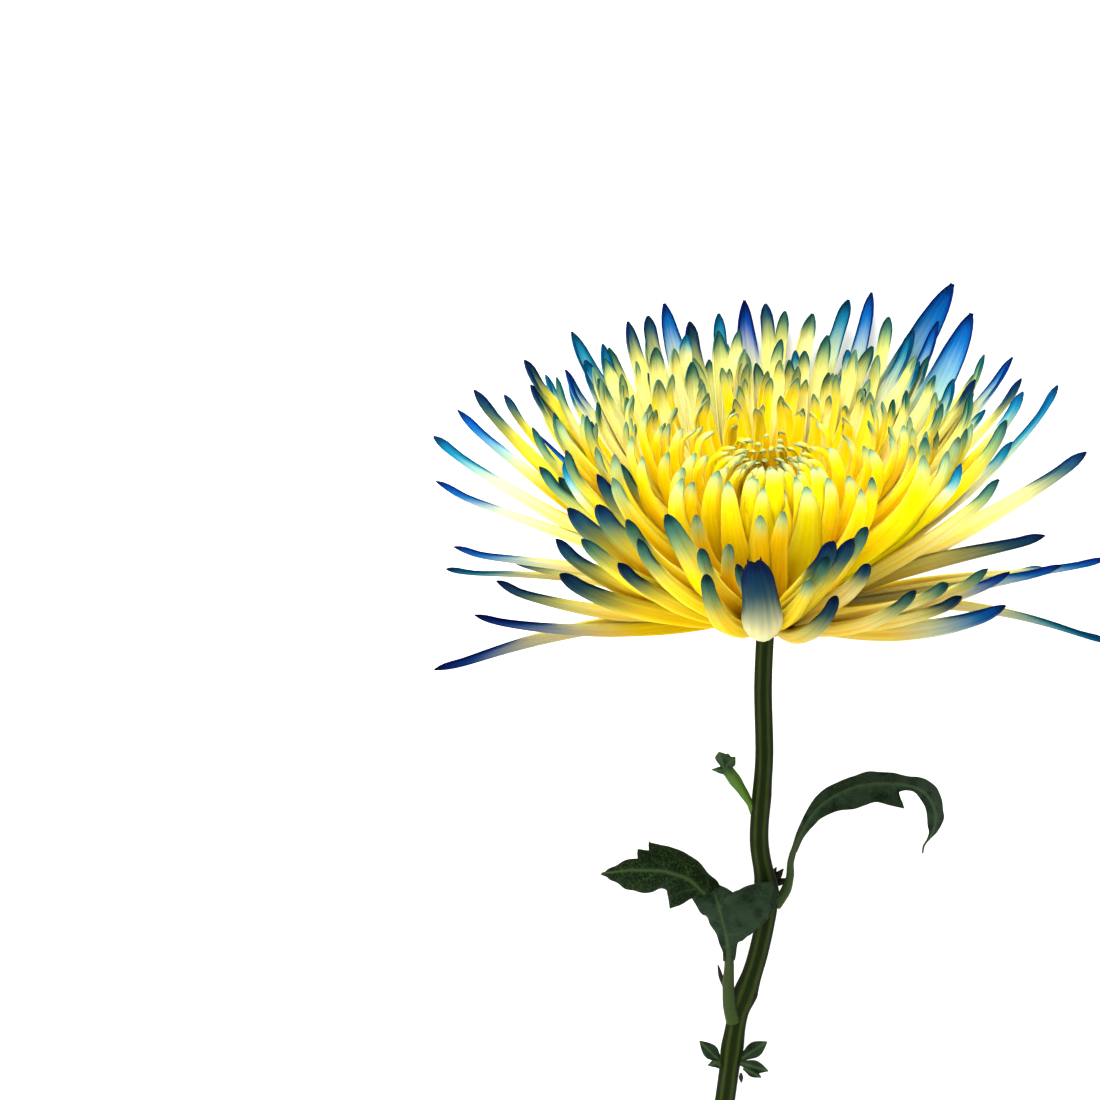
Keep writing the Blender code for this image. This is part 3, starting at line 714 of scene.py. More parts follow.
@dataclass(frozen=True)
class Petal:
    """One ray floret from its root on the receptacle to its tip.

    Args:
        azimuth: its place round the bloom's axis, in radians.
        radius: its tip's distance from the axis.
        height: its tip's height along the axis from the neck.
        width: its greatest width.
        lean: how much flatter it sets out than its straight line, in radians.
        curl: how much steeper it arrives.
        dyed: the share of its length that has its tip's colour.
        hook: how far the very tip hooks inward.
        bend: its sideways bow, as a share of its length.
        twist: its turn about its own length from root to tip.
        root: its root's place on the receptacle, 0 at the rim and 1 at the top.
        dye: the colour of its tip.
        body: its colour below the tip.
        rolled: how far its edges are rolled together, 0 open and 1 nearly a tube.
        blunt: width of the very tip, as a share of the petal's width.
        taper: length of the rounded tip, in widths.
        slim: width toward the tip before it rounds off, as a share of the petal's width.
        tone: how bright its skin is, 1 for the brightest; below 1 it is painted shade on petals that lie low.
        pale: how far its own colour reaches to its root, 0 for its outer half only.
        handle: how far its curve keeps its first and last direction, as a share of its length.
        hook_start: where the hook of its tip begins.
        least_half: the least half width, in millimetres.
        root_rim: the radius of the receptacle that it stands on, root_low and root_top its heights.
        root_width: its width at the root, as a share of its greatest.
        side_turn: how far it turns its back to the eye at the bloom's sides, in radians.
    """

    azimuth: float
    radius: float
    height: float
    width: float
    lean: float
    curl: float
    dyed: float
    hook: float
    bend: float = 0.0
    twist: float = 0.0
    root: float = 0.0
    dye: Dye = Dye.BUD
    body: Body = Body.YELLOW
    rolled: float = 1.0
    blunt: float = 0.14
    taper: float = 0.85
    slim: float = 0.42
    tone: float = 1.0
    pale: float = 0.0

    handle: float = 0.36
    hook_start: float = 0.86
    least_half: float = 0.14
    root_rim: float = 5.0
    root_low: float = 4.0
    root_top: float = 15.0
    root_width: float = 0.62
    side_turn: float = 0.75

    def middle(self, share: float) -> Vector:
        """Return a point of the petal's middle line, from its root at 0 to its tip at 1.

        Args:
            share: how far along the petal, 0 at its root.

        Returns:
            The point, in millimetres from the neck.
        """
        dome = self.root * math.pi / 2
        start = Vector((self.root_rim * math.cos(dome), mix(self.root_low, self.root_top, math.sin(dome))))
        end = Vector((self.radius, self.height))
        reach = (end - start).length
        slope = math.atan2(end.x - start.x, end.y - start.y)
        rising, arriving = slope + self.lean, slope - self.curl
        first = start + Vector((math.sin(rising), math.cos(rising))) * reach * self.handle
        second = end - Vector((math.sin(arriving), math.cos(arriving))) * reach * self.handle
        rest = 1 - share
        flat = start * rest**3 + first * 3 * share * rest**2 + second * 3 * share**2 * rest + end * share**3
        outward = POSE.round_axis(self.azimuth)
        bow = self.bend * reach * math.sin(math.pi * share) * share
        return POSE.above_surface(outward * flat.x + POSE.axis * flat.y + POSE.axis.cross(outward) * bow)

    def axes_at(self, share: float, step: float = 0.02) -> tuple[Vector, Vector]:
        """Return the petal's sideways and backward directions at a share of its length.

        Args:
            share: how far along the petal, 0 at its root.
            step: how far apart the points lie that give its course.

        Returns:
            Both directions.
        """
        along = (self.middle(min(share + step, 1.0)) - self.middle(max(share - step, 0.0))).normalized()
        back = POSE.axis.cross(POSE.round_axis(self.azimuth)).cross(along).normalized()
        # At the sides a petal turns its back to the eye
        facing = math.sin(self.azimuth) * smooth_step(math.cos(self.azimuth) / 0.75 + 1)
        turn = Matrix.Rotation(self.twist * share - self.side_turn * facing, 3, along)
        return turn @ along.cross(back).normalized(), turn @ back

    def half_width(self, share: float, reach: float) -> float:
        """Return half the petal's width: slim at the root, full past the middle, then a point.

        Args:
            share: how far along the petal, 0 at its root.
            reach: the petal's length.

        Returns:
            The half width, in millimetres.
        """
        body = mix(self.root_width, 1.0, smooth_step(share / 0.5))
        body *= mix(1.0, self.slim, max(share - 0.5, 0.0) / 0.5)
        left = (1 - share) * reach / (self.taper * self.width)
        if left < 1:
            body *= max(1 - (1 - left) ** 2, self.blunt**1.5) ** 0.68
        return max(self.width / 2 * body, self.least_half)

    def arc(self, share: float) -> float:
        """Return half the angle that the petal's rolled section turns through, in radians.

        Args:
            share: how far along the petal, 0 at its root.

        Returns:
            The angle.
        """
        throat = mix(0.8, 1.55, self.rolled)
        nib = 0.7 * smooth_step((share - 0.9) / 0.1) * (1 - smooth_step((self.slim - 0.42) / 0.15))
        return mix(2.3, throat, smooth_step(share / 0.5)) + nib

    def points(self, shares: Sequence[float], draws: random.Random) -> list[dict[str, object]]:
        """Return what the section and the finish read on the points of the petal's middle line.

        Args:
            shares: the points' places along the petal.
            draws: small differences between one petal and the next.

        Returns:
            What each point holds, by its name.
        """
        seed, shift = draws.random(), draws.uniform(0.8, 1.15)
        fringe, middle, deep = (tuple(c * shift for c in tone) for tone in self.dye.value)
        warm, bright = draws.uniform(0.94, 1.04), draws.uniform(0.93, 1.04)
        body = (self.body.value[0], self.body.value[1] * warm, self.body.value[2])
        # A pale petal's dye fades into its own colour
        fringe = tuple(mix(dyed, own, 0.9 * self.pale) for dyed, own in zip(fringe, body))
        # tone carries the painted shade of low petals, times a small random brightness
        steady = {"seed": seed, "dyed": self.dyed, "tone": self.tone * bright, "pale": self.pale}
        steady |= {"fringe": fringe, "middle": middle, "deep": deep, "body": body}
        reach = (self.middle(1.0) - self.middle(0.0)).length
        points = []
        for share in shares:
            sideways, back = self.axes_at(share)
            arc = self.arc(share)
            bend = self.half_width(share, reach) * MM / math.sin(min(arc, math.pi / 2))
            hook = back * (self.hook * smooth_step((share - self.hook_start) / (1 - self.hook_start)) ** 2)
            spine = POSE.metres(self.middle(share) - hook)
            shape = {"spine": spine, "sideways": sideways, "back": back, "arc": arc, "round": bend}
            points.append({"along": share, **shape, **steady})
        return points


@dataclass(frozen=True)
class PetalSweep(Sweep):
    """Grows petals along their middle lines; thickness and the height of a ridge are in metres."""

    thickness: float = 0.00062
    ridges: float = 3.0
    ridge: float = 0.00014

    def section(self, group: Sections, turn: Value) -> tuple[Value, Value, Value]:
        """Return a petal's rolled section: once round goes across the back and then the inner face.

        Args:
            group: the group being wired.
            turn: the share of the way round.

        Returns:
            The places sideways and backward, and how far across the petal it is.
        """
        half, ridges, ridge = group.given["Thickness"] * 0.5, group.given["Ridges"], group.given["Ridge"]
        across = 1.0 - abs(turn * 4.0 - 2.0)
        wave = group.math("SINE", turn * (2 * math.pi))
        side = group.math("SIGN", wave) * abs(wave) ** 0.45
        offset = group.math("COSINE", across * (ridges * math.pi)) * ridge + side * half
        arc, bend = group.held("arc"), group.held("round")
        angle = across * arc
        # A slim section can't be thicker than it is wide
        reach = bend + offset * (bend / (bend + half))
        centre = bend * (group.math("COSINE", arc) * 0.5 + 0.5)
        return reach * group.math("SINE", angle), reach * group.math("COSINE", angle) - centre, across

    def grow(self, name: str, petals: Sequence[Petal], finish: bpy.types.Material) -> bpy.types.Object:
        """Return one piece that holds these petals.

        Args:
            name: the piece's name.
            petals: the petals.
            finish: their material.

        Returns:
            The piece, not yet settled.
        """
        # The stations stand closer together at the tip
        shares = [1 - (1 - i / (self.stations - 1)) ** 1.7 for i in range(self.stations)]
        draws = random.Random(len(petals))
        points = [point for petal in petals for point in petal.points(shares, draws)]
        sizes = {"Thickness": self.thickness, "Ridges": self.ridges, "Ridge": self.ridge}
        return self.skin(name, points, finish, sizes, self.section, "across")


@dataclass(frozen=True)
class Ray:
    """An outer petal by its measured tip.

    Args:
        across: the tip's place to the right of the neck, as seen from above.
        up: the tip's place beyond the neck.
        height: the tip's height along the bloom's axis.
        width: the petal's width.
        bow: above 0 it cups inward, below 0 it droops.
        dye: the colour of its tip, and dyed the share of its length that has it.
        body: its colour below the tip.
        square: how broad and blunt its tip is, 0 slender to 1 square.
    """

    across: float
    up: float
    height: float
    width: float
    bow: float
    dye: Dye
    dyed: float
    body: Body
    square: float

    @classmethod
    def listed(cls, text: str) -> list[Ray]:
        """Return the petals of a table whose columns are the fields in order; square may be left out.

        Args:
            text: the table.

        Returns:
            The petals.
        """
        rays = []
        for line in text.strip().splitlines():
            *tip, dye, dyed, body, square = f"{line} 0".split()[:9]
            rays.append(cls(*map(float, tip), Dye[dye], float(dyed), Body[body], float(square)))
        return rays

    def petal(self, draws: random.Random, looks: random.Random, back_width: float) -> Petal:
        """Return the petal, carried to its measured place.

        Args:
            draws: differences in its shape.
            looks: differences in its finish.
            back_width: how much wider a petal at the back is.

        Returns:
            The petal.
        """
        steepness = math.cos(POSE.rise) / math.sin(POSE.rise)
        # The tip's depth follows from its height along the axis and its place in the view
        level = self.height * math.sin(POSE.rise) + (self.height * math.cos(POSE.rise) - self.up) * steepness
        toward = level / (1 - (self.up - POSE.sight.y) * steepness / POSE.distance)
        tip = POSE.sighted(self.across, self.up, toward)
        front = tip.dot(POSE.front)
        beyond = 0.36 if self.dye in (Dye.TEAL, Dye.NAVY, Dye.SPRING) else 0.5
        dyed = mix(mix(0.95, 0.64, smooth_step(self.up / 24)), beyond, smooth_step((self.up - 30) / 30))
        pale = {Body.IVORY: 0.6, Body.CREAM: 0.35}.get(self.body, 0.0)
        return Petal(
            azimuth=math.atan2(tip.x, front),
            radius=math.hypot(front, tip.x),
            height=self.height,
            width=self.width * (1.12 + back_width * max(-front, 0.0) / tip.length),
            lean=self.bow + draws.uniform(-0.03, 0.03),
            curl=self.bow + draws.uniform(-0.04, 0.08),
            bend=draws.uniform(-0.06, 0.06),
            twist=draws.uniform(-0.4, 0.4),
            dye=self.dye,
            dyed=self.dyed * dyed,
            body=self.body,
            hook=looks.uniform(0.5, 1.5),
            rolled=looks.uniform(0.5, 1.0),
            taper=1.15 if self.dye in (Dye.BLUE, Dye.VIOLET) else looks.uniform(0.6, 0.95),
            slim=mix(0.42, 0.85, self.square),
            blunt=mix(0.14, 0.55, smooth_step(self.square)),
            # Petals low in the view, by the stem, get painted shade, as the light falls from the top
            tone=mix(0.34, 1.0, smooth_step(self.up / 46)),
            pale=pale + 0.4 * smooth_step(2 * self.square - 0.4),
        )


OUTER_RAYS = Ray.listed("""
-76.6 43.5 50 4.6 .06 SEA .36 IVORY
-76.1 32.7 38 4.4 -.1 BLUE .32 IVORY
-71.1 49.5 54 4.6 .18 BLUE .34 LEMON
-67.4 54.3 56 6.4 .18 NAVY .36 LEMON
-60.7 53.1 52 4.4 .18 NAVY .24 LEMON
-56.4 61 55 6 .18 NAVY .34 LEMON
-54.3 55.7 50 5.4 .18 NAVY .28 LEMON
-47 58.7 48 5.4 .18 BLUE .3 IVORY
-44.9 67.9 56 6 .18 SEA .42 IVORY
-41.6 61.4 50 5.6 .18 SEA .26 IVORY
-38.2 64.9 50 5.6 .18 SEA .3 IVORY
-32.2 70.2 54 5.4 .18 NAVY .32 CREAM
-27.1 71.5 54 5 .18 NAVY .32 CREAM
-23.5 74.3 55 6.4 .18 BLUE .36 IVORY
-17 61 47 5.6 .18 TEAL .26 CREAM
-5 63 48 5.6 .18 SPRING .24 CREAM
-17.7 70.2 50 5 .18 NAVY .4 CREAM
-11 72 52 4.8 .18 SEA .3 IVORY
-5.3 75 54 6.4 .18 VIOLET .36 IVORY
.4 74.3 53 4.8 .18 NAVY .3 CREAM
4.6 72.7 51 4.2 .18 TEAL .22 CREAM
10.8 72.2 52 5.4 .18 TEAL .2 IVORY
19.3 75.2 54 5 .18 SEA .36 IVORY
24.6 77 55 5 .18 BLUE .42 IVORY
28.4 71.3 52 4.6 .18 TEAL .26 CREAM
35 67.9 52 5 .18 SEA .36 IVORY
40.3 70.2 54 5 .18 BLUE .38 IVORY
43.2 78.9 60 8 .18 BLUE .56 LEMON .16
47.6 72.2 57 7.8 .18 BLUE .5 LEMON .16
51 62.6 54 4 .18 TEAL .3 CREAM
57.5 61.9 55 5 .18 BLUE .34 CREAM
59.6 56.8 54 5.4 .18 NAVY .36 CREAM
49 56.6 50 6.4 .18 NAVY .3 CREAM
67.9 55.4 56 5 .16 SEA .55 IVORY
74.1 40 46 6.4 .1 NAVY .36 IVORY
57.3 41.9 45 4.8 .18 SEA .24 IVORY
54.5 33.1 40 5.6 .18 TEAL .22 CREAM .3
64.4 20.7 26 5.6 -.12 NAVY .55 CREAM
63.7 12.9 12 3.6 -.12 SEA .1 IVORY
78.9 15.6 20 4.2 0 BLUE .34 IVORY
68.3 13.8 19 5.4 .1 BLUE .34 IVORY
56.4 12.4 20 5 .18 VIOLET .22 LEMON
51.5 12.4 32 5 .18 TEAL .15 CREAM
55.2 4.6 23 6 .26 BLUE .3 CREAM
44.9 6.4 29 5 .24 NAVY .2 CREAM
41.6 9.4 32 4.6 .18 TEAL .18 CREAM
78.9 -3.7 -2 4.2 -.3 SEA .34 IVORY
34.5 8 32 5 .3 TEAL .22 CREAM
-71.8 17.5 20 4.2 -.22 BLUE .34 IVORY
-73.4 12.7 14 3.6 -.16 SEA .3 IVORY
-58.9 15.4 18 4.4 -.05 NAVY .24 CREAM
-62.1 9.7 14 5 .24 NAVY .3 CREAM
-66.9 2.5 7 5.4 .24 VIOLET .34 LEMON
-75.9 -10.4 -11 5.4 -.14 VIOLET .34 IVORY
-48.5 19.1 37 6.4 .2 NAVY .3 LEMON
-46.9 11.5 30 6.2 .22 NAVY .3 LEMON
-45.3 26.7 44 7.4 .18 NAVY .3 LEMON
-42.1 20 40 5.8 .18 TEAL .2 LEMON
-2.3 14.5 47 8.4 .3 NAVY .58 IVORY .7
-13.6 11.7 40 5.4 .34 TEAL .24 LEMON
-6.9 13.3 42 4.6 .18 TEAL .24 LEMON
-15 17 44 5 .18 TEAL .2 LEMON
15.9 18.6 46 6.4 .18 NAVY .34 LEMON .2
20.5 19.3 45 6.4 .18 NAVY .34 LEMON .35
23.5 21.9 46 5 .18 TEAL .26 LEMON
23.5 14 38 5.2 .18 NAVY .2 CREAM
14.5 15 42 5.2 .18 TEAL .2 LEMON
16.3 6.2 30 5 .4 NAVY .3 CREAM
10.4 10.1 38 4.6 .18 SPRING .12 LEMON
-52.6 36 43 6.2 .18 TEAL .3 LEMON
-47.7 33.7 40 6 .18 TEAL .26 LEMON
-38.5 27.8 48 7 .18 NAVY .3 LEMON
-39.1 34.8 42 7.2 .18 NAVY .32 LEMON
-33.9 37.3 43 6.2 .18 TEAL .3 LEMON
-32 24.2 46 5.8 .18 TEAL .24 LEMON
-29.6 19.4 43 5.6 .22 TEAL .26 LEMON
-33.9 13.9 36 5.8 .2 NAVY .24 LEMON
-22.5 25.2 48 6.8 .24 TEAL .28 YELLOW
-15.7 25.2 40 5.2 .26 SPRING .16 YELLOW
-8.7 18.2 37 4.8 .3 SPRING .16 YELLOW
-1.2 25.2 40 4.8 .3 SPRING .12 YELLOW
4.2 26.2 41 5.2 .3 SPRING .12 YELLOW
""")


@dataclass
class Bloom:
    """The head of the flower: petals in their layers on a domed receptacle.

    Each layer has its number of petals, the seed of the differences between them and its reach. Petals in
    front of the eye are sparse, close in over it and show their broad backs.
    """

    finish: PetalFinish = PetalFinish()
    petal_width: float = 5.9
    back_width: float = 0.25
    look_seed: int = 8
    dish_height: float = 47.0
    dish_rise: float = 3.5
    fan_count: int = 140
    fan_seed: int = 11
    fan_radius: float = 60.0
    front_sparse: float = 0.45
    front_close: float = 0.9
    front_drop: float = 3.5
    front_width: float = 0.5
    front_lean: float = 0.22
    front_curl: float = 0.42
    young_count: int = 44
    young_seed: int = 18
    young_radius: float = 48.0
    young_spread: float = 1.45
    young_widths: tuple[float, float] = (4.2, 2.8)
    backing_count: int = 26
    backing_seed: int = 4
    backing_spread: float = 1.2
    backing_reach: tuple[float, float] = (54.0, 66.0)
    backing_height: tuple[float, float] = (42.0, 50.0)
    outer_seed: int = 21
    splay_count: int = 7
    splay_seed: int = 5
    splay_reach: float = 78.0
    splay_spread: float = 0.72
    splay_height: tuple[float, float] = (23.0, 27.0)
    eye_count: int = 15
    eye_seed: int = 3
    eye_radius: float = 12.5
    eye_height: float = 41.0
    eye_width: float = 2.8
    bud_count: int = 46
    bud_seed: int = 9
    bud_width: tuple[float, float] = (2.1, 2.8)
    core_sides: int = 48
    core_rings: int = 30
    core_line: tuple[tuple[float, float], ...] = (
        (3.2, 0.4), (6.5, 3.5), (12.0, 9.0), (13.5, 15.0), (11.0, 22.0), (0.0, 26.0)
    )

    def layer(self, rule: Callable[..., Petal | None], count: int, seed: int) -> list[Petal]:
        """Return a layer's petals.

        Args:
            rule: gives a petal or none from its number, its share of them, and the draws for shape and looks.
            count: how many petals the rule is asked for.
            seed: of the draws for the shapes.

        Returns:
            The layer's petals.
        """
        draws, looks = random.Random(seed), random.Random(self.look_seed)
        petals = [rule(i, (i + 0.5) / count, draws, looks) for i in range(count)]
        return [petal for petal in petals if petal is not None]

    def fan_petal(self, i: int, share: float, draws: random.Random, looks: random.Random) -> Petal | None:
        """Return a petal of the spiral from the outside of the bloom to the eye.

        Args:
            i: the petal's number.
            share: its place in the layer, 0 to 1.
            draws: differences in its shape.
            looks: differences in its finish.

        Returns:
            The petal, or none where the front is sparse.
        """
        radius = math.sqrt(mix(self.fan_radius**2, self.eye_radius**2, share**0.8))
        inner = 1 - radius / self.fan_radius
        azimuth = i * GOLDEN_ANGLE + draws.gauss(0, 0.07)
        front, back = max(math.cos(azimuth), 0.0), max(-math.cos(azimuth), 0.0)
        if front > self.front_sparse and i % 2:
            return None
        height = self.dish_height + self.dish_rise * (1 - inner) ** 2 * (1 - front)
        broad = 1 + self.front_width * front + self.back_width * back * (1 - inner)
        vary, look = draws.uniform, looks.uniform
        return Petal(
            azimuth=azimuth,
            radius=mix(radius, self.eye_radius, self.front_close * front) * vary(0.95, 1.05),
            height=height - self.front_drop * (1 - inner) * front + vary(-3.0, 3.0),
            width=self.petal_width * mix(1.0, 0.5, inner) * broad * vary(0.82, 1.12),
            lean=mix(0.16, 0.42, inner) + vary(-0.05, 0.05) + self.front_lean * front,
            curl=mix(0.2, 1.25, inner) + vary(-0.08, 0.12) + self.front_curl * front,
            bend=vary(-0.09, 0.09),
            twist=vary(-0.5, 0.5),
            root=mix(0.15, 0.9, share),
            dye=self.fan_dye(looks, inner, front),
            dyed=mix(0.17, 0.075, smooth_step(inner / 0.6 + front + 0.8 * back)) * look(0.7, 1.25),
            body=looks.choice(self.bodies(inner, front, back)),
            hook=look(0.6, 1.6),
            rolled=look(0.35, 1.0),
            taper=look(0.6, 1.05),
            pale=0.6 * back * (1 - inner),
        )

    def fan_dye(self, looks: random.Random, inner: float, front: float) -> Dye:
        """Return a tip's dye: dark on the outside, a breath of green toward the eye and in front.

        Args:
            looks: differences in finish.
            inner: how near the eye it stands, 0 to 1.
            front: how far in front it stands, 0 to 1.

        Returns:
            The dye.
        """
        if inner > 0.62:
            return Dye.BUD
        if inner > 0.34 or front > 0.75:
            return Dye.SPRING
        if inner > 0.16 or front > 0.4:
            return looks.choice((Dye.TEAL, Dye.SPRING, Dye.SPRING))
        return looks.choice((Dye.TEAL, Dye.TEAL, Dye.SEA))

    def bodies(self, inner: float, front: float, back: float) -> tuple[Body, ...]:
        """Return the colours to choose from: pale at the back and outside, full yellow in front.

        Args:
            inner: how near the eye it stands, 0 to 1.
            front: how far in front it stands, 0 to 1.
            back: how far at the back it stands, 0 to 1.

        Returns:
            The colours.
        """
        if front > 0.2 or inner > 0.5:
            return (Body.YELLOW,)
        return (Body.CREAM,) if back > 0.3 and inner < 0.4 else (Body.YELLOW, Body.LEMON)

    def young_petal(self, i: int, share: float, draws: random.Random, looks: random.Random) -> Petal:
        """Return a slim young petal between the eye and the back of the fan.

        Args:
            i: the petal's number.
            share: its place in the layer, 0 to 1.
            draws: differences in its shape.
            looks: differences in its finish.

        Returns:
            The petal.
        """
        radius = math.sqrt(mix(self.young_radius**2, self.eye_radius**2, share))
        inner = 1 - radius / self.fan_radius
        turn = (i * GOLDEN_ANGLE / math.pi) % 2 - 1
        vary, look = draws.uniform, looks.uniform
        return Petal(
            azimuth=math.pi + turn * self.young_spread,
            radius=radius * vary(0.95, 1.05),
            height=self.dish_height + vary(-3.5, 2.0),
            width=mix(*self.young_widths, smooth_step((inner - 0.25) / 0.5)) * vary(0.85, 1.15),
            lean=mix(0.2, 0.42, inner) + vary(-0.05, 0.05),
            curl=mix(0.3, 1.25, inner) + vary(-0.1, 0.15),
            bend=vary(-0.08, 0.08),
            twist=vary(-0.4, 0.4),
            root=mix(0.3, 0.9, share),
            dye=self.fan_dye(looks, inner, 0.0),
            dyed=mix(0.10, 0.07, smooth_step(inner / 0.6)) * look(0.7, 1.25),
            body=Body.YELLOW if inner > 0.6 else looks.choice((Body.YELLOW, Body.LEMON, Body.CREAM)),
            hook=look(0.8, 1.8),
            rolled=look(0.6, 1.0),
        )

    def backing_petal(self, _: int, share: float, draws: random.Random, looks: random.Random) -> Petal:
        """Return a pale petal that closes the back of the bloom behind the fan.

        Args:
            _: its number, not used.
            share: its place in the layer, 0 to 1.
            draws: differences in its shape.
            looks: differences in its finish.

        Returns:
            The petal.
        """
        vary, look = draws.uniform, looks.uniform
        return Petal(
            azimuth=math.pi + mix(-1, 1, share) * self.backing_spread + vary(-0.05, 0.05),
            radius=vary(*self.backing_reach),
            height=vary(*self.backing_height),
            width=self.petal_width * vary(0.85, 1.15),
            lean=0.1 + vary(-0.05, 0.05),
            curl=0.22 + vary(-0.08, 0.08),
            bend=vary(-0.07, 0.07),
            twist=vary(-0.4, 0.4),
            root=0.05,
            dye=looks.choice((Dye.SEA, Dye.TEAL, Dye.SPRING)),
            dyed=look(0.05, 0.11),
            body=looks.choice((Body.CREAM, Body.CREAM, Body.LEMON)),
            hook=look(0.6, 1.4),
            rolled=look(0.3, 0.8),
            pale=0.4,
        )

    def splayed_petal(self, i: int, _: float, draws: random.Random, looks: random.Random) -> Petal:
        """Return one of the lowest petals on the side of the surface, bent along it.

        Args:
            i: the petal's number.
            _: its place in the layer, not used.
            draws: differences in its shape.
            looks: differences in its finish.

        Returns:
            The petal.
        """
        turn = self.splay_spread * mix(-1, 1, i / (self.splay_count - 1))
        vary = draws.uniform
        return Petal(
            azimuth=math.pi + turn + vary(-0.04, 0.04),
            radius=self.splay_reach * vary(0.95, 1.03),
            height=vary(*self.splay_height),
            width=self.petal_width * vary(0.95, 1.15),
            lean=0.1,
            curl=0.16,
            bend=vary(-0.05, 0.05),
            dye=looks.choice((Dye.SEA, Dye.BLUE, Dye.NAVY)),
            dyed=looks.uniform(0.25, 0.4),
            body=Body.IVORY,
            hook=0.0,
            rolled=0.2,
        )

    def eye_floret(self, i: int, share: float, draws: random.Random, looks: random.Random) -> Petal:
        """Return one of the closed florets that fill the eye.

        Args:
            i: the petal's number.
            share: its place in the layer, 0 to 1.
            draws: differences in its shape.
            looks: differences in its finish.

        Returns:
            The floret.
        """
        out = math.sqrt(share)
        return Petal(
            azimuth=i * GOLDEN_ANGLE,
            radius=(self.eye_radius - 5.0) * out,
            height=self.eye_height + 3.5 * out + draws.uniform(-0.8, 0.8),
            width=self.eye_width,
            lean=0.35,
            curl=mix(0.9, 1.5, out),
            root=mix(0.95, 0.62, out),
            dyed=looks.uniform(0.10, 0.15),
            hook=0.6,
        )

    def bud(self, i: int, share: float, draws: random.Random, looks: random.Random) -> Petal:
        """Return one of the tiny florets between the eye's larger ones, curled over its middle.

        Args:
            i: the petal's number.
            share: its place in the layer, 0 to 1.
            draws: differences in its shape.
            looks: differences in its finish.

        Returns:
            The floret.
        """
        out, vary = math.sqrt(share), draws.uniform
        return Petal(
            azimuth=i * GOLDEN_ANGLE + 0.5,
            radius=(self.eye_radius - 3.0) * out,
            height=self.eye_height - 1.5 + 4.5 * out + vary(-1.0, 1.0),
            width=vary(*self.bud_width),
            lean=0.35,
            curl=mix(0.9, 1.5, out) + vary(-0.2, 0.2),
            bend=vary(-0.05, 0.05),
            twist=vary(-0.3, 0.3),
            root=mix(0.97, 0.6, out),
            dyed=looks.uniform(0.04, 0.09),
            hook=looks.uniform(0.4, 1.0),
        )

    def core(self, finish: bpy.types.Material) -> bpy.types.Object:
        """Return the domed receptacle that the petals grow from.

        Args:
            finish: the petals' material.

        Returns:
            The piece, not yet settled.
        """
        sides, shape, turn = range(self.core_sides), bmesh.new(), 2 * math.pi / self.core_sides
        *profile, peak = smooth_line([Vector(point) for point in self.core_line], self.core_rings)
        rings, pairs = [], [(i, (i + 1) % self.core_sides) for i in sides]
        for radius, height in profile:
            around = (POSE.round_axis(i * turn) * radius + POSE.axis * height for i in sides)
            rings.append([shape.verts.new(POSE.metres(place)) for place in around])
        top = shape.verts.new(POSE.metres(POSE.axis * peak.y))
        for near, far in zip(rings, rings[1:]):
            for i, j in pairs:
                shape.faces.new((near[i], near[j], far[j], far[i]))
        for i, j in pairs:
            shape.faces.new((rings[-1][i], rings[-1][j], top))
        shape.faces.new(rings[0][::-1])
        mesh = bpy.data.meshes.new("receptacle")
        shape.to_mesh(mesh)
        shape.free()
        face_out(mesh)
        mesh.shade_smooth()
        steady = dict.fromkeys(("along", "across", "seed", "dyed"), 0.05) | {"tone": 1.0, "pale": 0.0}
        steady |= dict.fromkeys(("fringe", "middle", "deep", "body"), Body.YELLOW.value)
        for name, value in steady.items():
            hold(mesh, name, [value] * len(mesh.vertices))
        mesh.materials.append(finish)
        return show("receptacle", mesh)

    def build(self) -> None:
        """Grow the petals, layer by layer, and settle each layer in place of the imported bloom."""
        finish, fan = self.finish.material(), self.layer(self.fan_petal, self.fan_count, self.fan_seed)
        draws, looks = random.Random(self.outer_seed), random.Random(self.look_seed)
        outer = [ray.petal(draws, looks, self.back_width) for ray in OUTER_RAYS]
        outer += self.layer(self.splayed_petal, self.splay_count, self.splay_seed)
        young = self.layer(self.young_petal, self.young_count, self.young_seed)
        young += self.layer(self.backing_petal, self.backing_count, self.backing_seed)
        eye = self.layer(self.eye_floret, self.eye_count, self.eye_seed)
        eye += self.layer(self.bud, self.bud_count, self.bud_seed)
        half = len(fan) // 2
        layers = {
            "outer_petals": (PetalSweep(22, 24), outer),
            "fan_petals": (PetalSweep(20, 22), fan[:half]),
            "inner_petals": (PetalSweep(18, 20), fan[half:]),
            "young_petals": (PetalSweep(16, 18), young),
            "eye_florets": (PetalSweep(12, 14, thickness=0.0005), eye),
        }
        for name, (sweep, petals) in layers.items():
            settle(sweep.grow(name, petals, finish), "petals", "bloom")
        settle(self.core(finish), "petals", "bloom")


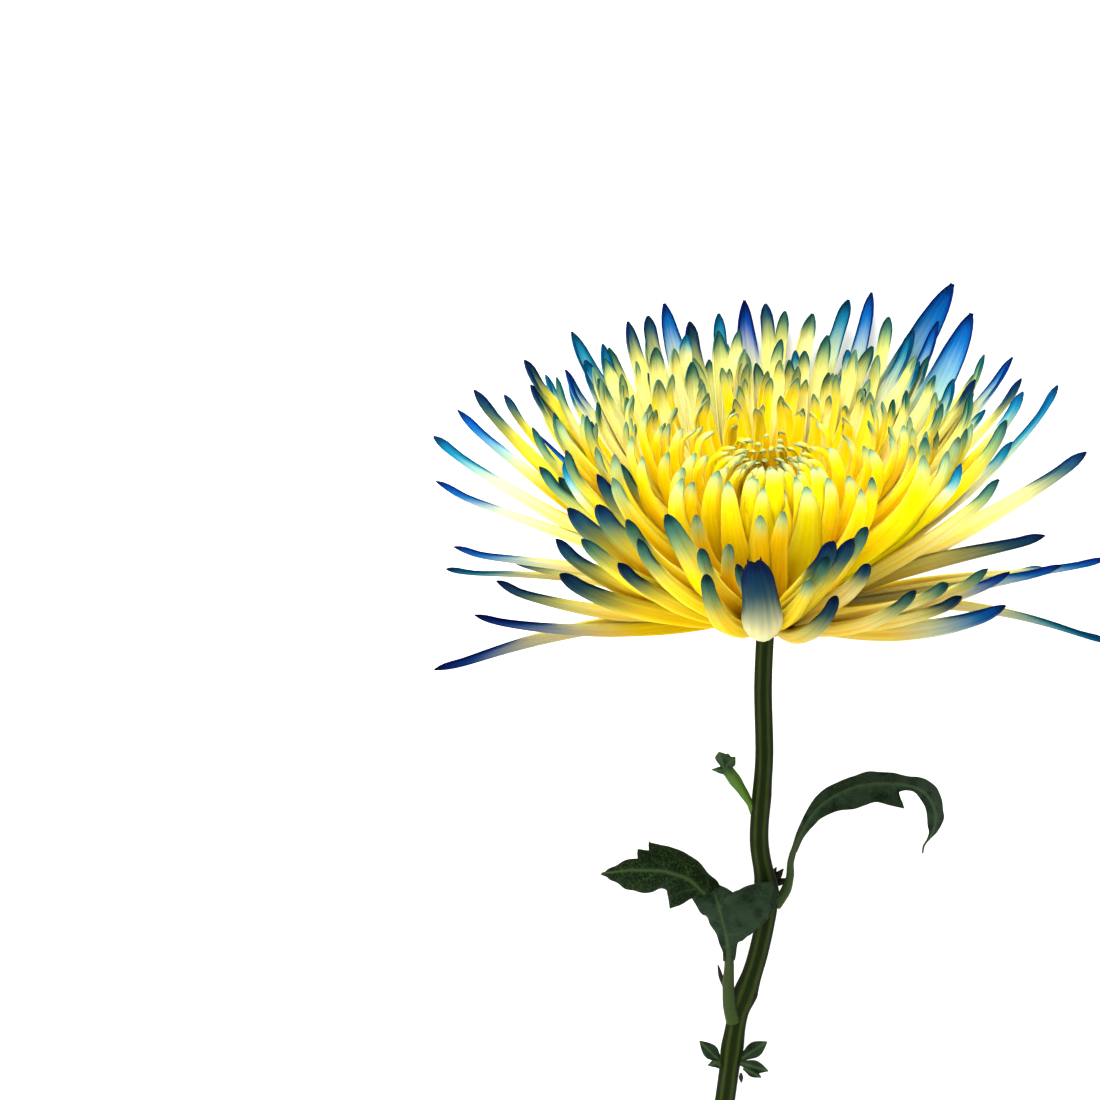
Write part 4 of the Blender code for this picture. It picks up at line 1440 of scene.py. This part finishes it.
@dataclass(frozen=True)
class StalkSweep(Sweep):
    """Grows a ribbed stalk along a line.

    Args:
        ribs: number of ribs, 0 for none.
        rib_depth: their depth, as a share of the radius.
        hollow: depth of a groove along the upper side, as a share of the radius.
    """

    ribs: float = 0.0
    rib_depth: float = 0.0
    hollow: float = 0.0

    def section(self, group: Sections, turn: Value) -> tuple[Value, Value, Value]:
        """Return a stalk's section: narrow ridges with wide shallow grooves between them.

        Args:
            group: the group being wired.
            turn: the share of the way round.

        Returns:
            The places sideways and backward, and how far up a rib it is.
        """
        depth, angle = group.given["Rib Depth"], turn * (2 * math.pi)
        crest = (group.math("COSINE", angle * group.given["Ribs"]) * 0.5 + 0.5) ** 1.6
        top = group.math("MAXIMUM", group.math("SINE", angle), 0.0) ** 6.0
        swell = (crest * (depth * 2.0) + (1.0 - depth)) - top * group.given["Hollow"]
        reach = group.held("girth") * swell
        return reach * group.math("COSINE", angle), reach * group.math("SINE", angle), crest

    def grow(
        self, name: str, line: Sequence[Place], radius_at: Callable[[float, Vector], float],
        finish: bpy.types.Material, head_at: Callable[[float], float] = lambda share: 0.0,
    ) -> bpy.types.Object:
        """Return a stalk as one piece, not yet settled.

        Args:
            name: the piece's name.
            line: places on its middle line, as across, up and toward the eye from the neck.
            radius_at: its radius in millimetres at a share of its length and a point.
            finish: its skin.
            head_at: how near its head a share of its length is.

        Returns:
            The piece.
        """
        middles = smooth_line([POSE.sighted(*place) for place in line], self.stations)
        sideways, points, last = Vector((1, 0, 0)), [], len(middles) - 1
        for i, middle in enumerate(middles):
            share = i / last
            along = (middles[min(i + 1, last)] - middles[max(i - 1, 0)]).normalized()
            sideways = (sideways - along * sideways.dot(along)).normalized()
            shape = {"spine": POSE.metres(middle), "sideways": sideways, "back": along.cross(sideways)}
            girth = radius_at(share, middle) * MM
            points.append({"along": share, "girth": girth, "head": head_at(share), **shape})
        sizes = {"Ribs": self.ribs, "Rib Depth": self.rib_depth, "Hollow": self.hollow}
        return self.skin(name, points, finish, sizes, self.section, "rib")


@dataclass(frozen=True)
class Blade:
    """A thin blade between two edges, with a rib between them.

    Args:
        rows: the lower edge, the rib and the upper edge at each place along the blade.
        stations: rows of the finished mesh.
        columns: points across it, an odd number.
        low_corners: the rows where the lower edge has a sharp corner.
        high_corners: the rows where the upper edge has a sharp corner.
        thickness: in millimetres.
        vein_gap: distance between side veins, in millimetres, or 0 for none.
        vein_slant: how far forward the side veins run.
        swell: how far each half stands up between rib and edge, as a share of the width.
        wave: height of the ripples along the edges, in millimetres.
        under: 1 where the underside faces the eye, 0 where the upper side does.
        vein_rise: height of the veins, in millimetres.
        vein_half: half their width, in millimetres.
        side_vein: how strong the side veins are against the midrib.
        side_half: half the width of a side vein, in millimetres.
        wave_rate: how fast the ripples follow each other, in radians a millimetre.
        edge_thin: how much thinner the edge is, as a share of the thickness.
    """

    rows: Sequence[tuple[Place, ...]]
    stations: int
    columns: int
    low_corners: frozenset[int] = frozenset()
    high_corners: frozenset[int] = frozenset()
    thickness: float = 0.5
    vein_gap: float = 0.0
    vein_slant: float = 0.7
    swell: float = 0.05
    wave: float = 0.0
    under: float = 0.0
    vein_rise: float = 0.12
    vein_half: float = 0.3
    side_vein: float = 0.4
    side_half: float = 0.26
    wave_rate: float = 1.35
    edge_thin: float = 0.55

    def across(self) -> list[float]:
        """Return the columns' places, from -1 at the lower edge to 1 at the upper."""
        middle = self.columns // 2
        return [j / middle - 1 for j in range(self.columns)]

    def sheet(self) -> list[list[Vector]]:
        """Return the points of the blade's middle sheet, row by row.

        Returns:
            The rows.
        """
        lines = [[POSE.sighted(*place) for place in line] for line in zip(*self.rows)]
        corners, rows = (self.low_corners, frozenset(), self.high_corners), []
        for i in range(self.stations):
            place = i / (self.stations - 1) * (len(self.rows) - 1)
            low, rib, high = (curve_at(line, place, sharp) for line, sharp in zip(lines, corners))
            rows.append([rib.lerp(low, -v) if v < 0 else rib.lerp(high, v) for v in self.across()])
        return rows

    def vein_at(self, v: float, reach: float, walked: float) -> float:
        """Return how much of a vein is at a place: 1 on the midrib, 0 off the veins.

        Args:
            v: its column's place.
            reach: the width of its half of the blade.
            walked: its distance along the rib.

        Returns:
            The share of a vein.
        """
        vein = math.exp(-((abs(v) * reach / self.vein_half) ** 2))
        if self.vein_gap:
            phase = walked - abs(v) * reach * self.vein_slant + (0.5 * self.vein_gap if v < 0 else 0)
            off = (phase / self.vein_gap - round(phase / self.vein_gap)) * self.vein_gap
            side = math.exp(-((off / self.side_half) ** 2)) * (1 - 0.75 * abs(v)) * smooth_step(reach / 3)
            vein = max(vein, side * self.side_vein)
        return vein

    def points(self) -> list[tuple[Vector, float, float]]:
        """Return the points of the upper side and the underside in turn, with their vein and side.

        Returns:
            For each its place, its vein and its side.
        """
        sheet, last, edge, middle = self.sheet(), self.stations - 1, self.columns - 1, self.columns // 2
        points, walked = [], 0.0
        for i, row in enumerate(sheet):
            walked += (row[middle] - sheet[max(i - 1, 0)][middle]).length
            reaches = [(end - row[middle]).length for end in (row[0], row[-1])]
            for j, (v, point) in enumerate(zip(self.across(), row)):
                along = sheet[min(i + 1, last)][j] - sheet[max(i - 1, 0)][j]
                normal = (row[min(j + 1, edge)] - row[max(j - 1, 0)]).cross(along).normalized()
                vein = self.vein_at(v, reaches[v >= 0], walked)
                rise = self.swell * sum(reaches) * math.sin(math.pi * abs(v)) ** 0.8
                rise += self.wave * abs(v) ** 3 * math.sin(walked * self.wave_rate + (2.1 if v < 0 else 0.0))
                half, groove = self.thickness / 2 * (1 - self.edge_thin * abs(v) ** 6), vein * self.vein_rise
                points.append((POSE.metres(point + normal * (rise + half - groove * 0.6)), vein, self.under))
                points.append((POSE.metres(point + normal * (rise - half - groove)), vein, 1 - self.under))
        return points

    def faces(self, first: int) -> list[tuple[int, ...]]:
        """Return the faces of the closed shell, from the number of its first point.

        Args:
            first: the number of the blade's first point.

        Returns:
            The faces, as the numbers of their points.
        """
        last, edge, faces = self.stations - 1, self.columns - 1, []

        def number(i: int, j: int, under: int) -> int:
            """Return a point's number from its row, column and side."""
            return first + 2 * (i * self.columns + j) + under

        for i in range(last):
            for j in range(edge):
                for under in (0, 1):
                    around = ((i, j), (i, j + 1), (i + 1, j + 1), (i + 1, j))
                    face = tuple(number(*corner, under) for corner in around)
                    faces.append(face if under else face[::-1])
        rim = [(i, 0) for i in range(last)] + [(last, j) for j in range(edge)]
        rim += [(i, edge) for i in range(last, 0, -1)] + [(0, j) for j in range(edge, 0, -1)]
        for near, far in zip(rim, rim[1:] + rim[:1]):
            faces.append((number(*near, 0), number(*far, 0), number(*far, 1), number(*near, 1)))
        return faces


def lay(name: str, blades: Sequence[Blade], finish: bpy.types.Material) -> bpy.types.Object:
    """Return thin closed blades as one piece, not yet settled, with what their skin reads.

    Args:
        name: the piece's name.
        blades: the blades.
        finish: their material.

    Returns:
        The piece.
    """
    points, faces = [], []
    for blade in blades:
        faces += blade.faces(len(points))
        points += blade.points()
    spots, veins, sides = zip(*points)
    mesh = bpy.data.meshes.new(name)
    mesh.from_pydata(list(spots), [], faces)
    mesh.validate()
    face_out(mesh)
    mesh.shade_smooth()
    hold(mesh, "vein", veins)
    hold(mesh, "under", sides)
    mesh.materials.append(finish)
    return show(name, mesh)


def scale(
    root: Place, tip: Place, half_width: float, arch: float, fullest: float = 0.45, thickness: float = 0.5,
    count: int = 9,
) -> Blade:
    """Return a small pointed scale or lobe.

    Args:
        root: its root, as across, up and toward the eye from the neck.
        tip: its tip.
        half_width: half its greatest width.
        arch: how far its middle stands toward the eye.
        fullest: where along it is widest.
        thickness: in millimetres.
        count: number of rows that give its shape.

    Returns:
        The scale's blade.
    """
    start, end, rows = Vector(root), Vector(tip), []
    sideways = (end - start).normalized().cross(EYE).normalized()
    for i in range(count):
        share = i / (count - 1)
        if share < fullest:
            body = mix(0.42, 1.0, smooth_step(share / fullest))
        else:
            body = max(1 - ((share - fullest) / (1 - fullest)) ** 1.7, 0.05)
        centre = start.lerp(end, share) + EYE * arch * math.sin(math.pi * share)
        half, drop = sideways * half_width * body, EYE * half_width * body * 0.35
        rows.append((tuple(centre + half - drop), tuple(centre), tuple(centre - half - drop)))
    return Blade(rows, thickness=thickness, stations=26, columns=13)


@dataclass
class Stem:
    """The ribbed stem with its swollen nodes and the little scales at them.

    Args:
        length: how far the stem reaches from the neck.
        radius: its radius at the middle.
        rest: how high its foot's middle lies above the surface.
        node_spread: length of a node.
        nodes: the place up the stem and the swelling of each node.
        line: places of its middle line, across and up from the neck.
        scales: the scales at its nodes.
    """

    finish: StemFinish = StemFinish()
    scale_finish: LeafFinish = LeafFinish(
        "scale_skin", (0.006, 0.003, 0.003), (0.018, 0.010, 0.008), (0.012, 0.010, 0.007), (0.02, 0.016, 0.01)
    )
    length: float = 184.0
    radius: float = 2.06
    rest: float = 2.15
    node_spread: float = 3.2
    nodes: tuple[tuple[float, float], ...] = (
        (-40.0, 0.12), (-61.0, 0.45), (-86.5, 0.5), (-99.5, 0.3), (-132.0, 0.3), (-158.0, 0.3)
    )
    line: tuple[tuple[float, float], ...] = (
        (0.0, -1.1), (-0.5, -13.8), (-0.2, -28.3), (-0.7, -37.3), (-1.4, -48.8), (0.0, -58.0), (0.6, -63.7),
        (-1.6, -74.8), (-4.4, -83.5), (-6.2, -88.5), (-7.6, -96.6), (-9.2, -108.1), (-12.5, -130.0),
        (-16.0, -155.0), (-18.0, -184.0),
    )
    scales: tuple[tuple, ...] = (
        ((1.6, -58.6, -24.0), (4.2, -55.4, -22.0), 0.9, 0.4),
        ((2.0, -59.2, -24.5), (5.0, -57.6, -22.8), 0.8, 0.3),
        ((1.0, -58.0, -23.4), (2.6, -55.0, -22.0), 0.7, 0.3),
        ((-9.7, -82.4, -25.8), (-10.9, -77.4, -25.0), 0.5, 0.4),
        ((-3.6, -86.4, -27.4), (-1.7, -84.2, -26.6), 0.6, 0.2),
        ((-5.6, -102.4, -31.0), (-5.5, -104.6, -30.6), 0.5, 0.1),
    )

    def depth(self, up: float) -> float:
        """Return how far below the neck the stem lies, easing down to rest on the surface."""
        share = min(max(-up / self.length, 0.0), 1.0)
        return (self.rest - POSE.neck.z) * (1 - (1 - share) ** 2)

    def radius_at(self, share: float, point: Vector) -> float:
        """Return the stem's radius, fuller at its nodes and toward its foot."""
        swell = sum(size * math.exp(-(((point.y - up) / self.node_spread) ** 2)) for up, size in self.nodes)
        return self.radius * mix(0.94, 1.08, smooth_step(share * 1.6)) + swell

    def build(self) -> None:
        """Grow the stem and set its scales."""
        line = [(across, up, self.depth(up)) for across, up in self.line]
        sweep = StalkSweep(330, 60, ribs=6.0, rib_depth=0.075)
        settle(sweep.grow("stem_stalk", line, self.radius_at, self.finish.material()), "stem", "stem")
        blades = [scale(*row) for row in self.scales]
        settle(lay("stem_scales", blades, self.scale_finish.material()), "stem")


@dataclass
class Leaf:
    """One leaf: its stalk's line and the radii along it, and its blades."""

    side: str
    stalk: Sequence[Place]
    radii: tuple[float, ...]
    blades: tuple[Blade, ...]

    def build(self, skin: bpy.types.Material, stalk_skin: bpy.types.Material) -> None:
        """Grow the stalk and lay the blades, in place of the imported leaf.

        Args:
            skin: the blades' material.
            stalk_skin: the stalk's material.
        """
        node, sweep = f"leaf_{self.side}", StalkSweep(70, 26, hollow=0.16)
        stalk = sweep.grow(
            f"{node}_stalk", self.stalk, lambda share, point: along_list(self.radii, share), stalk_skin,
            lambda share: 0.25 + 0.5 * share,
        )
        settle(stalk, "leaves", node)
        settle(lay(f"{node}_blade", self.blades, skin), "leaves", node)


# Each line of a blade's table is one row: its lower edge, its rib and its upper edge
LEFT_UNDERSIDE = Blade(
    places("""
-9.6 -76.6 -21.2  -8.3 -76.6 -20.6  -7 -76.4 -21
-10.2 -73.2 -20.6  -8.6 -73.2 -19.6  -6.2 -72.6 -19.6
-11.6 -70 -20  -9 -70.2 -18.6  -4.6 -71.4 -17.6
-12.9 -67.6 -19.6  -9.6 -67.6 -17.8  -2.9 -70.2 -14.6
-14 -65.9 -19.2  -10.4 -65 -17.4  .4 -67 -12.2
-14.4 -65.8 -19  -10.6 -64.4 -17.4  2.4 -63.6 -11.6
-14.9 -65.4 -19  -10.7 -64 -17.3  3.2 -60.6 -11.8
-15.4 -64.6 -19  -10.8 -63.7 -17.3  2.2 -58.8 -12.4
-16 -63.6 -19  -10.9 -63.3 -17.3  -.8 -58.6 -13.4
-16.8 -62.4 -19  -11.1 -62.8 -17.4  -3 -60.4 -14.6
-17.6 -60.8 -19.2  -11.5 -61.6 -17.8  -4.6 -62 -15.8
-16.8 -58.8 -19.6  -12.2 -59.6 -18.4  -6.4 -61.4 -16.8
-15 -57.8 -19.8  -12.6 -58.2 -18.8  -8.6 -60 -17.6
"""),
    low_corners=frozenset({5}), high_corners=frozenset({6}), stations=110, columns=31,
    vein_gap=6.5, vein_slant=0.55, swell=0.035, wave=0.25, under=1.0,
)

LEFT_UPPER = Blade(
    places("""
-15.9 -62.2 -17  -13.8 -61.2 -16  -10.4 -59.6 -17.6
-16.9 -62.3 -17.2  -14.9 -60.3 -15.4  -11.2 -58.2 -17.6
-18.6 -63.2 -17.6  -16 -59.2 -15  -12.8 -56.6 -17.8
-20.4 -64 -18  -17.2 -58.2 -14.9  -14.6 -54.6 -18
-22.1 -64.8 -18.6  -18.8 -57.3 -14.9  -16.8 -52.8 -18.2
-22.2 -61.8 -18.4  -20.4 -56.8 -14.9  -18.8 -51.4 -18.4
-22.6 -60.4 -18.2  -21.6 -56.4 -15  -21.4 -50.6 -18.6
-24 -60.1 -18.2  -23 -56 -15.2  -24 -50 -18.8
-26 -60.7 -18.4  -24.6 -55.9 -15.5  -26.9 -49.1 -19
-28.5 -60.9 -18.6  -26.4 -55.8 -15.9  -25.3 -51.6 -18.4
-30.4 -60.5 -19  -27.6 -55.8 -16.4  -29.3 -50.9 -18.8
-31.9 -60.1 -19.4  -29.2 -55.8 -17  -28.6 -52.9 -18.4
-33.4 -59.2 -20  -31 -55.8 -17.8  -31.8 -53.4 -19.2
-35 -58.2 -20.8  -33.2 -56 -19  -34.4 -54.6 -20.2
-36.6 -57.4 -21.8  -35.6 -56.3 -20.6  -36.2 -55.6 -21.4
-37.8 -56.6 -22.8  -37.6 -56.5 -22.6  -37.4 -56.3 -22.7
"""),
    low_corners=frozenset({4, 5}), high_corners=frozenset({8, 9, 10, 11}), stations=150, columns=31,
    vein_gap=5.2, vein_slant=0.9, wave=0.25,
)

RIGHT_BLADE = Blade(
    places("""
7.3 -51.6 -14.4  6.8 -51 -14  6.1 -50.6 -14.2
8.9 -48.2 -12.4  8.3 -47.4 -12.4  7.4 -46.6 -12.8
11.2 -45.4 -9.4  10.3 -43.9 -10.6  9.5 -42.2 -11.4
13.2 -43.6 -7.4  12.6 -41.2 -9  11.4 -39.2 -10.4
16.8 -42.1 -5.2  15.6 -38.9 -7.2  13.8 -37 -9.4
20.4 -41.7 -4  18.8 -37.3 -5.8  17.2 -35.3 -8.6
22.8 -40.9 -3.6  21.8 -36.3 -5.1  20.4 -34.1 -8.2
25.6 -40.1 -3.4  24.6 -35.9 -4.9  23.6 -33.1 -8
28.8 -40.9 -4  27.2 -35.8 -4.9  26.6 -33.2 -8.2
32 -41.6 -5.2  29.2 -35.9 -5.1  29.4 -33.4 -8.6
31.4 -39.8 -5.4  30.4 -36 -5.3  31.2 -33.8 -8.8
30.3 -37.9 -5.6  31.6 -36.1 -5.7  33.2 -34.2 -9.2
32 -37.4 -6.4  33.2 -36.4 -6.4  35.4 -34.4 -9.8
34.1 -37.7 -7.8  35 -36.9 -7.6  37.4 -35.1 -10.8
35.5 -39.2 -9.6  36.8 -38.1 -9.2  39.4 -36.8 -12.2
36.8 -41.4 -12.2  38.3 -40.2 -11.6  40.5 -39.2 -13.8
37.2 -43.6 -14.4  39.1 -42.6 -13.8  40.9 -41.8 -15.6
37.3 -45.4 -16.2  39 -44.8 -15.8  41 -44.2 -17.4
37.6 -47.2 -18  38.4 -46.8 -17.8  39.6 -46.8 -18.8
37 -48.9 -19.6  37.3 -48.7 -19.4  37.9 -48.6 -19.8
36.2 -50.2 -21  36.4 -50.1 -20.9  36.7 -50 -21
36 -51.7 -22.4  36.2 -51.7 -22.4  36.4 -51.6 -22.4
"""),
    low_corners=frozenset({9, 11}), stations=170, columns=29,
    vein_gap=5.6, vein_slant=0.8, swell=0.06, wave=0.03,
)

LEAVES = (
    Leaf(
        "left",
        ((-7.4, -90.4, -27.6), (-8.2, -87.2, -25.6), (-8.5, -82.0, -23.6), (-8.3, -77.0, -21.6),
         (-8.8, -71.0, -19.6), (-11.0, -63.0, -18.0), (-12.2, -59.6, -17.9)),
        (1.7, 1.55, 1.4, 1.15, 0.7, 0.42, 0.25),
        (LEFT_UNDERSIDE, LEFT_UPPER),
    ),
    Leaf(
        "right",
        ((2.4, -63.6, -23.4), (4.6, -60.6, -21.4), (5.7, -57.2, -18.6), (5.9, -53.6, -15.8),
         (7.4, -49.2, -13.2), (10.2, -44.2, -10.8)),
        (1.5, 1.25, 0.95, 0.8, 0.7, 0.4),
        (RIGHT_BLADE,),
    ),
)


@dataclass
class SideShoot:
    """The short green side shoot with its cup of young leaves."""

    finish: ShootFinish = ShootFinish()
    head_finish: LeafFinish = LeafFinish(
        "shoot_head_skin", (0.008, 0.018, 0.008), (0.022, 0.05, 0.014), (0.024, 0.045, 0.022),
        (0.03, 0.055, 0.02),
    )
    line: tuple[Place, ...] = (
        (-2.3, -42.6, -16.6), (-3.6, -40.2, -15.4), (-5.2, -37.6, -14.4), (-7.0, -35.0, -13.4),
        (-8.5, -32.9, -12.6), (-9.5, -31.2, -12.0),
    )
    radii: tuple[float, ...] = (1.2, 0.85, 1.15, 1.5, 1.4, 0.9)
    head: tuple[tuple, ...] = (
        ((-8.4, -32.8, -12.0), (-12.3, -32.6, -11.6), 1.0, 0.2, 0.2),
        ((-9.4, -32.4, -11.6), (-10.6, -28.6, -11.2), 1.3, 0.5, 0.75, 0.6),
        ((-9.0, -31.8, -11.4), (-7.0, -29.8, -11.0), 1.35, 0.5, 0.5, 0.6),
        ((-9.2, -32.2, -12.4), (-8.6, -28.9, -11.8), 1.3, 0.3, 0.6, 0.6),
    )

    def build(self) -> None:
        """Grow the shoot's stalk and its head."""
        stalk = StalkSweep(60, 30, ribs=5.0, rib_depth=0.03).grow(
            "side_shoot_stalk", self.line, lambda share, point: along_list(self.radii, share),
            self.finish.material(), lambda share: 0.75 * smooth_step((share - 0.55) / 0.45),
        )
        settle(stalk, "shoot", "side_shoot")
        blades = [scale(*row) for row in self.head]
        settle(lay("side_shoot_head", blades, self.head_finish.material()), "shoot", "side_shoot")


@dataclass
class LowLeaflets:
    """The two small lobed leaflets at the low node, as the lobes of each."""

    left: tuple[tuple, ...] = (
        ((-10.4, -99.6, -31.0), (-15.1, -95.0, -30.6), 1.75, 0.3),
        ((-10.2, -99.8, -30.6), (-13.2, -100.6, -30.2), 0.9, 0.2),
        ((-9.6, -101.0, -30.8), (-12.0, -99.6, -30.4), 1.0, 0.2),
    )
    right: tuple[tuple, ...] = (
        ((-5.8, -99.2, -30.8), (0.4, -95.2, -30.2), 1.8, 0.3, 0.55),
        ((-5.8, -100.0, -30.6), (0.7, -101.9, -30.4), 1.5, 0.3, 0.5),
        ((-5.0, -101.2, -30.8), (-0.9, -103.4, -30.4), 1.0, 0.2, 0.5),
    )

    def build(self, skin: bpy.types.Material) -> None:
        """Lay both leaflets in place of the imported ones.

        Args:
            skin: the leaves' material.
        """
        for side, lobes in (("left", self.left), ("right", self.right)):
            piece = lay(f"leaflet_{side}_lobes", [scale(*row) for row in lobes], skin)
            settle(piece, "leaves", f"leaflet_{side}")


@dataclass
class Involucre:
    """The shallow cup of green bracts under the petals, in three overlapping rows.

    Args:
        finish: the bracts' skin.
        rows: for each row its number of bracts, where they start and end, out from the axis and along it, and
            half their width.
        seed: of the small differences between bracts.
        count: number of rows that give a bract's shape.
    """

    finish: LeafFinish = LeafFinish(
        "bract_skin", (0.022, 0.045, 0.010), (0.06, 0.10, 0.022), (0.05, 0.08, 0.022), (0.08, 0.12, 0.04)
    )
    rows: tuple[tuple, ...] = (
        (11, (2.2, -0.7), (5.6, 1.1), 1.05),
        (13, (2.8, -0.3), (6.9, 2.4), 1.05),
        (15, (3.4, 0.2), (7.7, 3.8), 1.0),
    )
    seed: int = 4
    count: int = 9

    def bract(self, azimuth: float, near: tuple, far: tuple, half_width: float) -> Blade:
        """Return one bract, from the stem's end out under the petals.

        Args:
            azimuth: its place round the axis.
            near: where it starts, out from the axis and along it.
            far: where it ends.
            half_width: half its width.

        Returns:
            The bract's blade.
        """
        outward = POSE.round_axis(azimuth)
        sideways, rows = POSE.axis.cross(outward), []
        for i in range(self.count):
            share = i / (self.count - 1)
            body = mix(0.8, 1.0, smooth_step(share / 0.4))
            if share >= 0.4:
                body = max(1 - ((share - 0.4) / 0.6) ** 2, 0.06)
            rise = mix(near[1], far[1], share) - 0.7 * math.sin(math.pi * share)
            centre = outward * mix(near[0], far[0], share) + POSE.axis * rise
            half, curl = sideways * half_width * body, POSE.axis * half_width * body * 0.3
            row = (centre - half + curl, centre, centre + half + curl)
            rows.append(tuple(POSE.unsighted(point) for point in row))
        return Blade(rows, thickness=0.4, stations=20, columns=11)

    def build(self) -> None:
        """Set the bracts round the stem's end."""
        draws, bracts = random.Random(self.seed), []
        for k, (count, *shape) in enumerate(self.rows):
            for i in range(count):
                azimuth = 2 * math.pi * (i + 0.5 * (k % 2)) / count + draws.uniform(-0.05, 0.05)
                bracts.append(self.bract(azimuth, *shape))
        settle(lay("involucre_bracts", bracts, self.finish.material()), "bracts", "involucre")


@dataclass
class Studio:
    """The pale floor, the soft light and the camera that looks down on the flower.

    Args:
        floor: the floor's finish.
        floor_half: half the floor's side, in metres.
        picture: width of what the camera sees at the neck's depth, in millimetres.
        sensor: the camera's sensor width.
        sky: strength of the even light from all round.
        aim: how far up the bloom's axis the lamps aim, in millimetres.
        lamps: name, place and side in metres, watts and colour of each square lamp.
    """

    floor: FloorFinish = FloorFinish()
    floor_half: float = 3.0
    picture: float = 253.0
    sensor: float = 36.0
    sky: float = 1.35
    aim: float = 20.0
    lamps: tuple[tuple[str, Place, float, float, Colour], ...] = (
        ("key", (-0.25, 1.15, 0.95), 0.6, 23.0, (1.0, 0.985, 0.96)),
        ("fill", (-0.45, -0.6, 1.15), 1.2, 23.0, (1.0, 0.99, 0.97)),
    )

    def build(self) -> None:
        """Lay the floor, set the camera and hang the lamps, which face the bloom."""
        mesh = bpy.data.meshes.new("floor")
        near, far = -self.floor_half, self.floor_half
        corners = [(near, near, 0.0), (far, near, 0.0), (far, far, 0.0), (near, far, 0.0)]
        mesh.from_pydata(corners, [], [(0, 1, 2, 3)])
        mesh.materials.append(self.floor.material())
        show("floor", mesh)
        self.set_camera()
        target = POSE.metres(POSE.axis * self.aim)
        for name, place, size, power, colour in self.lamps:
            lamp = bpy.data.lights.new(name, "AREA")
            lamp.size, lamp.energy, lamp.color = size, power, colour
            holder = show(name, lamp)
            holder.location = place
            holder.rotation_euler = (target - Vector(place)).to_track_quat("-Z", "Y").to_euler()
        world = bpy.data.worlds.new("studio")
        world.use_nodes = True
        sky = world.node_tree.nodes["Background"].inputs
        sky["Color"].default_value, sky["Strength"].default_value = (1.0, 1.0, 1.0, 1.0), self.sky
        bpy.context.scene.world = world
        bpy.context.scene.view_settings.view_transform = "Standard"

    def set_camera(self) -> None:
        """Look straight down from the sight line's eye."""
        lens = bpy.data.cameras.new("camera")
        lens.sensor_width, lens.clip_start = self.sensor, 0.05
        lens.lens = self.sensor * POSE.distance / self.picture
        camera = show("camera", lens)
        camera.location = (POSE.neck + Vector((*POSE.sight, POSE.distance))) * MM
        bpy.context.scene.camera = camera


def main() -> None:
    """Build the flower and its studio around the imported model."""
    logging.basicConfig(level=logging.INFO, format="%(name)s: %(message)s")
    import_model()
    for part in (Studio(), Bloom(), Involucre(), Stem()):
        part.build()
    leaf_skin = LeafFinish().material()
    stalk_skin = ShootFinish("stalk_skin", (0.018, 0.034, 0.004), (0.014, 0.024, 0.008)).material()
    for leaf in LEAVES:
        leaf.build(leaf_skin, stalk_skin)
    SideShoot().build()
    LowLeaflets().build(leaf_skin)


if __name__ == "__main__":
    main()
